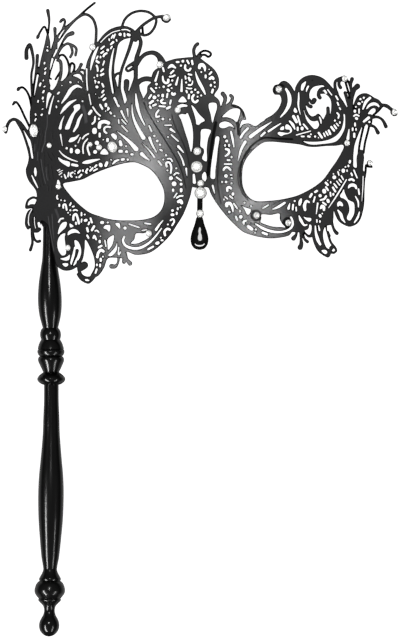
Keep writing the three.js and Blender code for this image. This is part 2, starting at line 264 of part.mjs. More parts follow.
const STROKES = [
  ["tendrils at upper left", [
    [[0.45, 0.45, 0.85], -74.5, 89, -73.8, 97, -74.5, 102],
    [[0.6, 0.45, 0.45], -79.7, 88.4, -78.3, 91.4, -76.2, 94, -74.4, 90],
    [[0.8, 0.5, 0.6], -70.9, 92.8, -70.9, 87.9, -72, 82],
    [[0.6, 0.5, 0.5], -68.2, 96.4, -66.7, 97.7, -65.9, 96.6, -66.9, 93.1, -69, 89.3, -71, 85],
    [[0.5, 0.5, 0.65], -51, 105.7, -54.6, 102.9, -58.9, 99.1, -63.4, 95.2, -66.9, 92.4, -71.1, 86.4,
      -72, 82],
    [1.2, -70.8, 85, -69.6, 84.4],
    [0.6, -72.2, 79, -69, 78.7],
    [0.65, -69.4, 86.8, -65.2, 92.4, -59.9, 98, -55.7, 100, -52.2, 98, -50.4, 93.5, -50.3, 89.3,
      -50.6, 85],
    [[1.1, 0.5, 0.5], -62.2, 90.6, -64.6, 89.6, -66.7, 86.8, -69.5, 81],
    [0.6, -69.9, 79.9, -66.8, 84.3, -64, 85.4, -62.6, 83.3, -62.2, 80.8, -63.2, 78.7],
    [0.6, -64.5, 85.5, -61.7, 84.4, -60.2, 82.8, -60.6, 79.6],
    [0.5, -70.5, 78.6, -66.9, 79.8, -65, 77.7, -63.9, 74.2, -63.8, 71.4, -64.8, 68.6, -67.6, 65.7],
    [[0.9, 0.75, 0.5], -71.5, 82, -70.8, 78, -68.3, 76.6, -67.8, 73.1, -68, 69.6, -68.9, 66.4,
      -70.4, 63.3, -72.7, 61],
    [0.45, -68.2, 71.5, -70.6, 67.6],
  ]],
  ["tendrils at left edge", [
    [[1, 0.55, 0.5], -85.2, 78.4, -85.1, 82.6, -83.6, 85, -82.2, 80.8, -81.7, 75.9, -82.7, 70.3,
      -82.7, 65.4, -82.2, 57],
    [0.5, -79.1, 73.5, -79.4, 70, -79.7, 67],
    [[0.8, 0.5, 0.5], -79.7, 79.6, -79.9, 75.9, -80.6, 69.6, -81.3, 65.4, -82.2, 57],
    [0.5, -89.6, 62.4, -87.6, 63.8, -85.6, 62.5, -83.8, 59.1, -82.5, 53],
    [0.5, -92, 55.2, -90.5, 56.4, -88.7, 54.4, -86.2, 49.2, -83.3, 43.3],
    [0.75, -95.6, 41.4, -94.8, 44.8, -93.3, 47.1, -91.3, 47.8, -88.8, 46.5, -86.6, 43.9, -83.2, 38.5],
    [0.58, -90.1, 46.8, -87.4, 42.1, -85.3, 36.5, -83.9, 31.6, -82.9, 26],
    [0.55, -80.2, 8.3, -81.8, 8.7, -84.3, 7.3, -85.2, 4.9, -85.3, 3.7],
    [[0.5, 1, 0.6], -80.4, 4.6, -82.6, 4.4, -85, 3.6],
    [[0.4, 0.9, 0.9, 0.7], -82.8, 2.4, -83.1, 0, -83.1, -3, -82.7, -6],
    [[0.4, 0.7, 0.8], -81.5, 3, -83.9, 1.7, -85, -1.4, -85.1, -5, -84.3, -6.5],
    [[0.9, 0.5, 0.75], -82.2, -6, -82.4, -10.6, -82.2, -14.1, -83.2, -17.5],
    [[0.5, 0.5, 0.7], -82, -8.8, -81, -12.3, -79.7, -13.4, -78.5, -13.1],
    [[0.5, 0.5, 0.9], -82, -8.2, -79.7, -8.3, -78.7, -7.2],
  ]],
  ["small curls over the cheek", [
    [0.5, -63.6, 69.4, -63.4, 73.8, -62.5, 75.7, -61.3, 74.9, -61.3, 72.4, -62.6, 70],
    [[0.55, 0.5, 0.8], -63.4, 69.6, -59.9, 71.7, -58.1, 74.2, -57.8, 75],
    [0.55, -60.3, 71, -58.1, 72.2, -56.3, 71.9, -55.9, 70, -56.2, 66, -56.1, 64],
    [0.55, -63.6, 69.3, -60.6, 70.7, -58.5, 70.7, -57.1, 69.3, -56.7, 67.3],
  ]],
  ["curls above the swan neck", [
    [0.6, -37.5, 93.5, -36, 97.3, -33.1, 100.1, -29.6, 101.4, -26.8, 101.5, -23.7, 100.7, -21.2, 98.7,
      -20.3, 97, -20.7, 94.5, -21.9, 92.1, -24, 90, -26.5, 89.4, -28.6, 90.3, -32, 91],
    [0.7, -31.5, 90, -27.5, 94, -24.4, 96.3, -20.9, 98.2, -17, 98.9],
    [0.5, -27.2, 93.5, -26.9, 90],
    [0.5, -29, 92, -28.2, 90.9, -27.2, 90.4],
    [[0.8, 0.55], -17.4, 98.3, -16.6, 96.8, -15, 96.1, -13.5, 97.2],
    [[0.8, 1.05, 1], -33, 90.5, -29.2, 88.9, -28, 86, -28.9, 81.9, -30.2, 77.7, -30.5, 72.4,
      -30.6, 67.9, -31.7, 64.5, -33.4, 60],
    [[0.9, 0.7, 0.65, 0.8], -32, 88.5, -33.9, 82.2, -36, 76.6, -37.7, 71.7, -38.4, 67.1, -38.6, 62.6,
      -37.7, 58.4, -36.7, 54],
    [0.6, -41.2, 68.6, -40.1, 70.1, -38.4, 70.6],
    [[0.45, 0.45, 0.45, 0.5, 0.75, 0.85, 0.8], -39.6, 86.2, -40.5, 81.2, -41.7, 74.2, -41.6, 68.9,
      -40.8, 65.4, -39.9, 60.1, -38.6, 55.5],
    [[1, 0.7, 0.6, 0.6, 0.9], -31.2, 75.6, -34.2, 74, -35.3, 72.5, -34.4, 71.6, -31.2, 73.4],
    [1.1, -31.2, 88.2, -30.6, 86.4],
    [[1.4, 1.3, 0.8, 0.9], -35.1, 66.2, -35.1, 65, -35.3, 62.2, -34.2, 58],
    [[0.8, 0.95, 1.15, 1.8, 2.1], -29.7, 75, -27.7, 78.3, -25.4, 80.1, -22, 80.7, -19.5, 79.5,
      -18, 77.3, -17.1, 74.5],
    [1.2, -30.2, 64.8, -28.2, 66.8, -25.4, 67.7, -22, 67.2],
    [0.6, -29.5, 66, -29, 62, -27.6, 58.6],
  ]],
  ["curls on the crown", [
    [[0.8, 0.75, 0.85], -0.8, 77, -1.65, 81.7, -0.8, 84, 0.3, 85],
    [0.7, 0.6, 78.2, 1.8, 78.8],
    [0.5, -0.5, 78, 1.8, 80.8, 3.8, 81.6, 5.8, 81.2, 7, 80, 6.4, 78.9, 5.4, 78.6, 4.1, 79.5, 0.5, 79.3],
    [[1.1, 0.9, 0.75], 12.85, 60.2, 13.9, 58.7, 14, 57, 13.4, 55.2, 12.4, 52.5],
    [0.8, 16.8, 59.3, 17.6, 58.5, 17.5, 57.3, 16.8, 55.8, 15.2, 54.3, 13.5, 52.8],
  ]],
  ["centre tongue and stone seats", [
    [[1.6, 1.7, 1.3], -0.2, 43.2, -0.1, 38, 0.1, 33],
    [2.9, 0.2, 31.3],
    [1.1, 0.3, 30, 0.7, 26],
    [3.4, 0, 23.6],
    [0.95, 0.7, 21, 1.5, 15],
    [2.1, 1.8, 15.5],
    [3, 1.8, 10.7],
    [1.15, 1.6, 10, 1.4, 1.2],
    [1.9, 1.5, 0.5],
    [0.9, -9.6, 51.6, -6, 50.8],
    [2, -9.5, 52],
  ]],
  ["curls of the right wing", [
    [[0.55, 0.6, 0.75, 1.2], 56.2, 57.4, 57, 56, 58, 55.8, 58.5, 57.1],
    [[0.8, 0.8, 0.9], 54.7, 58, 55, 55.5, 55.8, 54.3, 56.8, 53.9],
    [[0.6, 0.9, 0.9, 0.9], 65, 63, 62, 62.6, 60.8, 61, 60.7, 59.4, 61.3, 58.4],
    [[0.8, 0.9, 1.4], 65.3, 53.2, 65.4, 50.8, 64.6, 47.5],
    [[0.6, 0.5], 62.2, 60.9, 64, 60.9, 66, 59.4],
    [[0.6, 0.7, 0.75], 73.2, 68.8, 70.6, 67.8, 69.1, 66.6, 68.8, 64.5, 69.3, 61.8],
    [[0.9, 0.7, 0.85], 72.4, 67.8, 71, 66.5, 70.9, 64.8, 71.6, 63.5],
    [[0.8, 0.5], 73.9, 60.9, 74.6, 58.5, 75.3, 55.7, 76.2, 51.5],
    [0.5, 73.9, 67, 75.2, 62.3, 76.1, 59.2, 76.5, 52],
    [0.5, 74.6, 68, 76.1, 65, 77, 60.9, 76.9, 52],
    [[0.95, 0.5, 0.55], 77.4, 67.8, 76.8, 65.5, 77, 62.5, 77.1, 59],
    [[1.35, 0.6, 0.6], 80.1, 64.2, 78.6, 62.7, 77.9, 60.2, 77.4, 57.1, 76.9, 51.5],
    [[0.7, 0.9, 0.8, 0.7], 92.2, 55, 94.9, 54.4, 96.8, 53, 98.9, 51.4],
    [0.5, 98.3, 49.9, 99.3, 50, 99.9, 50.6],
    [0.5, 92.5, 54.2, 90.2, 51.6, 88.2, 50],
    [[0.7, 0.6, 0.9], 87.4, 48.7, 90.2, 48.9, 92.2, 47.9, 93.5, 46.2, 94.4, 44.2],
    [[0.7, 0.6, 0.95], 86, 44.7, 87.5, 44.5, 88.8, 43.8, 89.7, 42.4, 90.4, 41.1],
    [[0.5, 0.5], 86.4, 46, 85.2, 41, 83.9, 36, 83.2, 31],
    [0.5, 83.5, 45.5, 82.2, 40, 81, 34, 80.6, 29],
    [1.45, 81.8, 31, 81.6, 27, 81.4, 22, 81, 18],
    [0.5, 87.2, 24, 85.4, 24.2, 84.5, 24.8, 84.2, 22, 83.8, 19],
  ]],
  ["tendrils at lower right", [
    [[0.6, 0.6, 1.15], 49.8, -7.5, 49.4, -10, 48.1, -11.8],
    [[0.7, 0.6, 1.25], 51.6, -7.5, 51.9, -12.6, 52, -14.7, 51.4, -16.3],
    [[0.5, 0.5, 0.75], 52.4, -7.5, 53.7, -12.2, 55.1, -13.5],
    [0.55, 65.2, -4, 65.1, -8, 65.8, -11, 66.9, -14, 68.7, -16.2, 69.4, -17.8, 68.4, -18.9, 66.4, -18.6],
    [0.6, 66.6, -16.4, 68.2, -16.2],
    [[1, 0.8], 66.4, -18.5, 67.2, -16.2],
    [[0.6, 0.6, 0.9], 67.2, -3.5, 68, -6.5, 69, -8.4, 69.8, -9.2],
    [[0.8, 0.5], 64.8, -4, 65, -8, 66.2, -10.5],
  ]],
  ["drops at lower left", [
    [[1.85, 1.2], -56.2, -25.2, -57.6, -26.8],
    [0.8, -59.2, -23.5, -58.7, -28.1, -57.6, -30.4, -55.2, -31.6, -52.5, -31.5],
    [0.6, -59.4, -29.7, -57.7, -32.1, -54.2, -33.8, -52.9, -33, -51.1, -30.9],
    [[0.85, 0.5, 0.35], -59.8, -17.9, -60.3, -20.3, -61.5, -23.3, -62.2, -25.2],
    [[0.6, 0.7, 1.1], -35.5, -19.5, -34.9, -22.3, -33.4, -24.3],
    [[0.6, 0.9], -36.6, -19.5, -36.4, -23.6],
    [[0.6, 0.5, 1.2], -39, -20.5, -39.4, -23.9, -40.8, -25.8, -42.5, -25.7],
  ]],
];

// The stick's profile from its tip behind the mask down to the end ball: half width, y.
const STICK_PROFILE = [
  0, 46, 2.2, 46, 2.6, 45, 2.9, 30, 3.1, 5, 3.3, -15, 3.6, -22, 4.5, -28, 5.5, -35, 5.95, -43,
  5.4, -50, 3.9, -56.4, 4.9, -58, 5.3, -59.8, 4.85, -62.2, 6, -64.8, 6.75, -68, 5.85, -70.8,
  6.75, -73, 6, -75.2, 4.15, -78.4, 6.2, -80, 7.1, -82, 6, -84, 4.6, -84.7, 3.65, -85.2, 3.7, -93,
  4.05, -102, 4.25, -109, 5.1, -120, 6.1, -131, 6.4, -140, 6.1, -152, 5.3, -162, 4.4, -171,
  3.55, -177, 4.2, -180, 5.3, -181.6, 5.4, -182.8, 7.1, -185, 7.65, -187.6, 7.0, -190.4,
  5.4, -192.8, 4.0, -195, 2.7, -197.4, 3.2, -200, 4.5, -202.6, 5.05, -205, 4.4, -208.2,
  2.6, -210.2, 0, -210.7,
];
const STICK_WAIST_X = -72.75;
const STICK_WAIST_Y = -90;
const STICK_HEAD_Y = -20;
const STICK_HEAD_BOW = 1;
const STICK_FOOT_Y = -205;
const STICK_FOOT_BOW = 1.1;
const STICK_BALL_Y = -187.6;
const STICK_GLUED_Y = 20;
const STICK_GLUED_RADIUS = 3.25;

// The turned wood is very slightly bowed.
function stickX(y) {
  const foot = Math.min(0, y - STICK_WAIST_Y) / (STICK_FOOT_Y - STICK_WAIST_Y);
  const head = THREE.MathUtils.smoothstep(y, STICK_WAIST_Y, STICK_HEAD_Y);
  return STICK_WAIST_X - STICK_FOOT_BOW * foot * foot - STICK_HEAD_BOW * head;
}

// Stones: x, y, half width, half height.
const STONES = [
  ["stone_left_tip", -95.9, 42.9, 1.4, 1.4],
  ["stone_left_oval", -81.1, 42, 2.3, 3.2],
  ["stone_left_plume", -73.6, 34.6, 1.3, 1.3],
  ["stone_left_eye_corner", -69, 14.1, 1.4, 1.4],
  ["stone_swan_neck", -52, 83.6, 1.6, 1.6],
  ["stone_top", -15.1, 98.2, 1.7, 1.7],
  ["stone_crown_left", -18.4, 74.7, 1.7, 1.7],
  ["stone_cheek_small", -53.2, 35, 1.2, 1.2],
  ["stone_cheek_flower", -48.7, 33.5, 1.5, 1.5],
  ["stone_cheek_oval", -41.9, 33.7, 2.4, 2.8],
  ["stone_crown_base", -9.5, 52, 1.6, 1.6],
  ["stone_bridge_1", 0.2, 31.3, 1.9, 1.9],
  ["stone_bridge_2", 0, 23.6, 2.8, 2.8],
  ["stone_bridge_3", 1.8, 15.5, 1.6, 1.6],
  ["stone_bridge_4", 1.8, 10.7, 2.8, 2.8],
  ["stone_drop_top", 1.6, 0.5, 1.8, 1.8],
  ["stone_lower_ring", -64.3, -16.5, 1.5, 1.5],
  ["stone_lower_cheek", -23.8, -9.4, 1.6, 1.6],
  ["stone_right_cheek", 29.5, -0.4, 1.6, 1.6],
  ["stone_right_swirl", 45.4, -4.1, 1.6, 1.6],
  ["stone_right_curl", 40.7, 62.5, 1.6, 1.6],
  ["stone_right_top", 73.5, 67.9, 1.5, 1.5],
  ["stone_right_tip", 98.4, 51.4, 1.6, 1.6],
  ["stone_right_eye_corner", 74.7, 35.8, 1.5, 1.5],
  ["stone_right_stalk", 86.3, 25.8, 1.4, 1.4],
];
const STONE_SIDES = 7;

// The drop's outline: half width, y.
const DROP_X = 1.25;
const DROP_PROFILE = [1.7, -1.7, 2.5, -5, 3.9, -9, 4.5, -12.4, 3.9, -15.3, 2.3, -17.1, 0.6, -17.6];
const DROP_HEIGHT = 3.4;
const DROP_MIDDLE_Y = -11.5;

// Height of the inside of the face over its rim: a shallow barrel with a nose.
function faceHeight(x, y) {
  const across = x - FACE_AXIS_X;
  const along = y - FACE_LENGTH_AXIS_Y;
  const barrel = FACE_RADIUS - Math.sqrt(FACE_RADIUS * FACE_RADIUS - across * across);
  const length = (along * along) / (2 * FACE_LENGTH_RADIUS);
  const fade = THREE.MathUtils.smoothstep(y, NOSE_TOP_Y, NOSE_TOP_Y + NOSE_FADE);
  const ridge = Math.exp(-(across * across) / (2 * NOSE_HALF_WIDTH * NOSE_HALF_WIDTH));
  return NOSE_HEIGHT * ridge * (1 - 0.75 * fade) - barrel - length;
}

// Points of a smooth curve through x, y pairs, each with its share of the length.
function smoothPoints(pairs, closed, step) {
  const knots = [];
  for (let i = 0; i < pairs.length; i += 2) {
    knots.push(new THREE.Vector3(pairs[i], pairs[i + 1], 0));
  }
  if (knots.length === 1) return [knots[0]];
  const curve = new THREE.CatmullRomCurve3(knots, closed, "centripetal");
  const count = Math.max(2, Math.ceil(curve.getLength() / step));
  const points = curve.getSpacedPoints(count);
  return closed ? points.slice(0, -1) : points;
}

// Keeps only the points an outline needs within a tolerance.
function simplify(points, tolerance) {
  if (points.length < 3) return points;
  const first = points[0];
  const last = points[points.length - 1];
  const line = new THREE.Line3(first, last);
  const foot = new THREE.Vector3();
  let worst = 0;
  let at = 0;
  for (let i = 1; i < points.length - 1; i++) {
    line.closestPointToPoint(points[i], true, foot);
    const off = foot.distanceTo(points[i]);
    if (off > worst) {
      worst = off;
      at = i;
    }
  }
  if (worst <= tolerance) return [first, last];
  const before = simplify(points.slice(0, at + 1), tolerance);
  return before.concat(simplify(points.slice(at), tolerance).slice(1));
}

function simplifyLoop(points, tolerance) {
  const half = Math.floor(points.length / 2);
  const before = simplify(points.slice(0, half + 1), tolerance);
  const after = simplify(points.slice(half).concat([points[0]]), tolerance);
  return before.concat(after.slice(1, -1));
}

// A solid of manifold from a three.js geometry.
function solidOf(geometry) {
  const position = geometry.getAttribute("position");
  const places = new Map();
  const vertices = [];
  const place = (i) => {
    const p = [position.getX(i), position.getY(i), position.getZ(i)];
    const key = p.map((v) => Math.round(v * 1e4)).join();
    if (!places.has(key)) {
      places.set(key, vertices.length / 3);
      vertices.push(...p);
    }
    return places.get(key);
  };
  const count = geometry.index ? geometry.index.count : position.count;
  const triangles = [];
  for (let i = 0; i < count; i += 3) {
    const corner = [0, 1, 2].map((k) => place(geometry.index ? geometry.index.getX(i + k) : i + k));
    if (new Set(corner).size === 3) triangles.push(...corner);
  }
  return new Manifold(
    new Mesh({
      numProp: 3,
      vertProperties: new Float32Array(vertices),
      triVerts: new Uint32Array(triangles),
    }),
  );
}

// A flat plate with an outline of points, from one height to another.
function plate(points, low, high) {
  const shape = new THREE.Shape(points.map((p) => new THREE.Vector2(p.x, p.y)));
  const geometry = new THREE.ExtrudeGeometry(shape, { depth: high - low, bevelEnabled: false });
  return solidOf(geometry.translate(0, 0, low));
}

function disc(centre, radius, low, high) {
  const sides = radius > 1.2 ? 12 : 8;
  const points = [];
  for (let i = 0; i < sides; i++) {
    const turn = ((i + 0.5) * 2 * Math.PI) / sides;
    const reach = radius / Math.cos(Math.PI / sides / 2);
    points.push(new THREE.Vector3(centre.x + reach * Math.cos(turn), centre.y + reach * Math.sin(turn), 0));
  }
  return plate(points, low, high);
}

function widthAt(widths, share) {
  if (typeof widths === "number") return widths;
  const at = share * (widths.length - 1);
  const i = Math.min(widths.length - 2, Math.floor(at));
  return THREE.MathUtils.lerp(widths[i], widths[i + 1], at - i);
}

// A stroke of the pattern as short straight lengths with round ends.
function strokeSolids(widths, pairs, low, high, tolerance) {
  const fine = smoothPoints(pairs, false, 0.5);
  const share = new Map();
  fine.forEach((p, i) => share.set(p, fine.length > 1 ? i / (fine.length - 1) : 0));
  const spine = simplify(fine, tolerance);
  const solids = [];
  const ends = spine.length > 1 ? [spine[0], spine[spine.length - 1]] : [spine[0]];
  for (const end of ends) {
    const width = widthAt(widths, share.get(end));
    if (width > 0.42) solids.push(disc(end, width, low, high));
  }
  const sides = spine.map((p, i) => {
    const before = spine[Math.max(0, i - 1)];
    const after = spine[Math.min(spine.length - 1, i + 1)];
    const a = new THREE.Vector3().subVectors(p, before).normalize();
    const b = new THREE.Vector3().subVectors(after, p).normalize();
    const along = a.add(b).normalize();
    const width = widthAt(widths, share.get(p));
    const across = new THREE.Vector3(-along.y, along.x, 0).multiplyScalar(width);
    return [p.clone().add(across), p.clone().sub(across)];
  });
  for (let i = 0; i + 1 < spine.length; i++) {
    const corners = [sides[i][1], sides[i + 1][1], sides[i + 1][0], sides[i][0]];
    if (isConvex(corners)) solids.push(plate(corners, low, high));
    else solids.push(plate(straightLength(spine[i], spine[i + 1], widths, share), low, high));
  }
  return solids;
}

function isConvex(corners) {
  return corners.every((p, i) => {
    const q = corners[(i + 1) % 4];
    const r = corners[(i + 2) % 4];
    return (q.x - p.x) * (r.y - q.y) - (q.y - p.y) * (r.x - q.x) > 1e-6;
  });
}

function straightLength(from, to, widths, share) {
  const along = new THREE.Vector3().subVectors(to, from).normalize();
  const across = new THREE.Vector3(-along.y, along.x, 0);
  const a = widthAt(widths, share.get(from));
  const b = widthAt(widths, share.get(to));
  return [
    from.clone().addScaledVector(across, -a),
    to.clone().addScaledVector(across, -b),
    to.clone().addScaledVector(across, b),
    from.clone().addScaledVector(across, a),
  ];
}

function rowSolids(row, low, high, tolerance) {
  const pairs = row.slice(1);
  if (row[0] !== 0) return strokeSolids(row[0], pairs, low, high, tolerance);
  const outline = simplifyLoop(smoothPoints(pairs, true, 0.6), tolerance);
  return [plate(outline, low, high)];
}

function union(solids) {
  let round = solids;
  while (round.length > 1) {
    const next = [];
    for (let i = 0; i < round.length; i += 2) {
      next.push(i + 1 < round.length ? round[i].add(round[i + 1]) : round[i]);
    }
    round = next;
  }
  return round[0];
}

function groupSolid(groups, low, high, tolerance, smallest = 0) {
  const solids = [];
  for (const [, rows] of groups) {
    for (const row of rows) {
      const parts = rowSolids(row, low, high, tolerance);
      const solid = union(parts);
      if (solid.volume() >= smallest * (high - low)) solids.push(solid);
    }
  }
  return union(solids);
}

// The outlines of a flat sheet, read from the top edges of its walls.
function sheetLoops(solid, high) {
  const mesh = solid.getMesh();
  const at = (i) => mesh.vertProperties.slice(i * mesh.numProp, i * mesh.numProp + 3);
  const onTop = (i) => Math.abs(at(i)[2] - high) < 1e-4;
  const key = (i) => Math.round(at(i)[0] * 1e4) + "," + Math.round(at(i)[1] * 1e4);
  const next = new Map();
  for (let t = 0; t < mesh.triVerts.length; t += 3) {
    const corner = [...mesh.triVerts.slice(t, t + 3)];
    const top = corner.filter(onTop);
    if (top.length !== 2) continue;
    const third = corner.findIndex((i) => !onTop(i));
    const from = corner[(third + 1) % 3];
    const to = corner[(third + 2) % 3];
    if (key(from) === key(to)) continue;
    if (!next.has(key(to))) next.set(key(to), []);
    next.get(key(to)).push(from);
  }
  const loops = [];
  while (next.size) {
    const loop = [];
    let here = next.keys().next().value;
    while (next.has(here)) {
      const onward = next.get(here);
      const step = onward.pop();
      if (!onward.length) next.delete(here);
      const [x, y] = at(step);
      loop.push(new THREE.Vector3(x, y, 0));
      here = key(step);
    }
    if (loop.length > 2) loops.push(loop);
  }
  return loops;
}

// The same sheet again with only the outline points it needs.
function cleanSheet(solid, low, high, tolerance, smallest) {
  const loops = sheetLoops(solid, high)
    .map((loop) => simplifyLoop(loop, tolerance))
    .filter((loop) => loop.length > 2)
    .map((loop) => loop.map((p) => new THREE.Vector2(p.x, p.y)))
    .map((loop) => ({ loop, area: Math.abs(THREE.ShapeUtils.area(loop)) }))
    .sort((a, b) => b.area - a.area);
  const shape = new THREE.Shape(loops[0].loop);
  for (const { loop, area } of loops.slice(1)) {
    if (area >= smallest) shape.holes.push(new THREE.Path(loop));
  }
  const geometry = new THREE.ExtrudeGeometry(shape, { depth: high - low, bevelEnabled: false });
  return solidOf(geometry.translate(0, 0, low));
}

// Splits the edges that would leave the bent surface by more than the tolerance.
function bentGeometry(solid, height, tolerance) {
  const mesh = solid.getMesh();
  const points = [];
  for (let i = 0; i < mesh.numVert; i++) {
    const at = i * mesh.numProp;
    points.push(new THREE.Vector3(...mesh.vertProperties.slice(at, at + 3)));
  }
  let triangles = [];
  for (let i = 0; i < mesh.triVerts.length; i += 3) {
    triangles.push([mesh.triVerts[i], mesh.triVerts[i + 1], mesh.triVerts[i + 2]]);
  }
  for (let round = 0; round < 6; round++) {
    const middles = new Map();
    const middle = (a, b) => {
      const key = a < b ? a + "," + b : b + "," + a;
      if (middles.has(key)) return middles.get(key);
      const p = points[a];
      const q = points[b];
      const m = p.clone().add(q).multiplyScalar(0.5);
      const off = Math.abs(height(m.x, m.y) - (height(p.x, p.y) + height(q.x, q.y)) / 2);
      const made = off > tolerance ? points.push(m) - 1 : -1;
      middles.set(key, made);
      return made;
    };
    const next = [];
    for (const [a, b, c] of triangles) next.push(...splitTriangle(a, b, c, middle));
    if (next.length === triangles.length) break;
    triangles = next;
  }
  const geometry = new THREE.BufferGeometry();
  const bent = points.flatMap((p) => [p.x, p.y, p.z + height(p.x, p.y)]);
  geometry.setAttribute("position", new THREE.Float32BufferAttribute(bent, 3));
  geometry.setIndex(triangles.flat());
  return geometry;
}

function splitTriangle(a, b, c, middle) {
  const ab = middle(a, b);
  const bc = middle(b, c);
  const ca = middle(c, a);
  if (ab < 0 && bc < 0 && ca < 0) return [[a, b, c]];
  if (ab >= 0 && bc < 0 && ca < 0) return [[a, ab, c], [ab, b, c]];
  if (bc >= 0 && ab < 0 && ca < 0) return [[b, bc, a], [bc, c, a]];
  if (ca >= 0 && ab < 0 && bc < 0) return [[c, ca, b], [ca, a, b]];
  if (ab >= 0 && bc >= 0 && ca < 0) return [[b, bc, ab], [bc, c, a], [a, ab, bc]];
  if (bc >= 0 && ca >= 0 && ab < 0) return [[c, ca, bc], [ca, a, b], [b, bc, ca]];
  if (ca >= 0 && ab >= 0 && bc < 0) return [[a, ab, ca], [ab, b, c], [c, ca, ab]];
  return [[a, ab, ca], [ab, b, bc], [ca, bc, c], [ab, bc, ca]];
}

const part = new THREE.Group();

function addMesh(name, geometry, colour, roughness) {
  const flat = geometry.index ? geometry.toNonIndexed() : geometry;
  flat.computeVertexNormals();
  const material = new THREE.MeshStandardMaterial({ color: colour, roughness });
  const mesh = new THREE.Mesh(flat, material);
  mesh.name = name;
  part.add(mesh);
}

// The pierced sheet
const body = groupSolid(BODY, 0, SHEET_THICKNESS, OUTLINE_TOLERANCE);
const openings = groupSolid(CUTS, -1, SHEET_THICKNESS + 1, OUTLINE_TOLERANCE, SMALLEST_OPENING);
const strokes = groupSolid(STROKES, 0, SHEET_THICKNESS, OUTLINE_TOLERANCE);
const seatOutline = [];
for (let i = 0; i < DROP_PROFILE.length; i += 2) {
  seatOutline.push(new THREE.Vector3(DROP_X + 0.75 * DROP_PROFILE[i], DROP_PROFILE[i + 1] + 0.3, 0));
}
for (let i = DROP_PROFILE.length - 2; i >= 0; i -= 2) {
  seatOutline.push(new THREE.Vector3(DROP_X - 0.75 * DROP_PROFILE[i], DROP_PROFILE[i + 1] + 0.3, 0));
}
const dropSeat = plate(seatOutline, 0, SHEET_THICKNESS);
const stoneSeats = STONES.map(([, x, y, w, h]) => {
  const reach = Math.max(w, h) + 0.1;
  return disc(new THREE.Vector3(x, y, 0), reach, 0, SHEET_THICKNESS);
});
const sheet = union([body.subtract(openings), strokes, dropSeat, ...stoneSeats]);
const pieces = sheet.decompose().sort((a, b) => b.volume() - a.volume());
const flatSheet = cleanSheet(pieces[0], 0, SHEET_THICKNESS, SHEET_TOLERANCE, SMALLEST_OPENING);
addMesh("filigree_mask", bentGeometry(flatSheet, faceHeight, BEND_TOLERANCE), 0x1b1b1d, 0.38);

// The felt strip glued behind the left side
const stripOutline = [
  new THREE.Vector3(STRIP_LEFT, STRIP_BOTTOM, 0),
  new THREE.Vector3(STRIP_RIGHT, STRIP_BOTTOM, 0),
  new THREE.Vector3(STRIP_RIGHT, STRIP_TOP, 0),
  new THREE.Vector3(STRIP_LEFT, STRIP_TOP, 0),
];
const strip = plate(stripOutline, -STRIP_GAP - STRIP_THICKNESS, -STRIP_GAP);
addMesh("backing_strip", bentGeometry(strip, faceHeight, 0.05), 0x0c0c0d, 0.95);

// The stones follow the slope of the sheet under them
for (const [name, x, y, w, h] of STONES) {
  const base = SHEET_THICKNESS + GAP;
  const height = 0.75 * Math.min(w, h);
  const profile = [
    new THREE.Vector2(0, 0),
    new THREE.Vector2(0.92, 0),
    new THREE.Vector2(1, 0.4 * height),
    new THREE.Vector2(0.6, height),
    new THREE.Vector2(0, height),
  ];
  const geometry = new THREE.LatheGeometry(profile, STONE_SIDES);
  geometry.rotateX(Math.PI / 2).scale(w, h, 1).translate(x, y, base);
  addMesh(name, bentGeometry(solidOf(geometry), faceHeight, 1), 0xdfe3e8, 0.12);
}

// The drop: a domed black stone on its seat
const dropRings = [];
const DROP_SHARES = [[1, 0], [0.97, 0.38], [0.74, 0.76], [0.36, 0.97]];
for (const [share, height] of DROP_SHARES) {
  const ring = [];
  const right = smoothPoints(DROP_PROFILE, false, 2.6);
  for (const side of [1, -1]) {
    for (const p of right) {
      ring.push([DROP_X + side * share * p.x, DROP_MIDDLE_Y + share * (p.y - DROP_MIDDLE_Y), height]);
    }
    right.reverse();
  }
  dropRings.push(ring);
}
const dropPoints = dropRings.flat().concat([[DROP_X, DROP_MIDDLE_Y, 0], [DROP_X, DROP_MIDDLE_Y, 1]]);
const around = dropRings[0].length;
const dropFaces = [];
for (let i = 0; i < around; i++) {
  const next = (i + 1) % around;
  dropFaces.push(dropPoints.length - 2, i, next);
  for (let ring = 0; ring + 1 < dropRings.length; ring++) {
    const low = ring * around;
    const high = low + around;
    dropFaces.push(low + next, low + i, high + i, low + next, high + i, high + next);
  }
  const top = (dropRings.length - 1) * around;
  dropFaces.push(dropPoints.length - 1, top + next, top + i);
}
const dropGeometry = new THREE.BufferGeometry();
const dropBase = SHEET_THICKNESS + GAP;
const dropNumbers = dropPoints.flatMap(([x, y, z]) => [x, y, dropBase + DROP_HEIGHT * z]);
dropGeometry.setAttribute("position", new THREE.Float32BufferAttribute(dropNumbers, 3));
dropGeometry.setIndex(dropFaces);
addMesh("teardrop", bentGeometry(solidOf(dropGeometry), faceHeight, 1), 0x0b0b0c, 0.08);

// The turned stick, its ball resting on a small flat
const bounds = new THREE.Box3().setFromObject(part.children[0]);
const floor = bounds.min.z;
const stickProfile = [];
let ballRadius = 0;
for (let i = 0; i < STICK_PROFILE.length; i += 2) {
  stickProfile.push(new THREE.Vector2(STICK_PROFILE[i], STICK_PROFILE[i + 1]));
  ballRadius = Math.max(ballRadius, STICK_PROFILE[i]);
}
const stickGeometry = new THREE.LatheGeometry(stickProfile.reverse(), STICK_SIDES);
const stickZ = floor + ballRadius - FLAT_DEPTH;
const gluedX = stickX(STICK_GLUED_Y);
const slope = (faceHeight(gluedX + 1, STICK_GLUED_Y) - faceHeight(gluedX - 1, STICK_GLUED_Y)) / 2;
const stripUnder = faceHeight(gluedX, STICK_GLUED_Y) - STRIP_GAP - STRIP_THICKNESS;
const gluedZ = stripUnder - (STICK_GLUED_RADIUS + GAP) * Math.sqrt(1 + slope * slope);
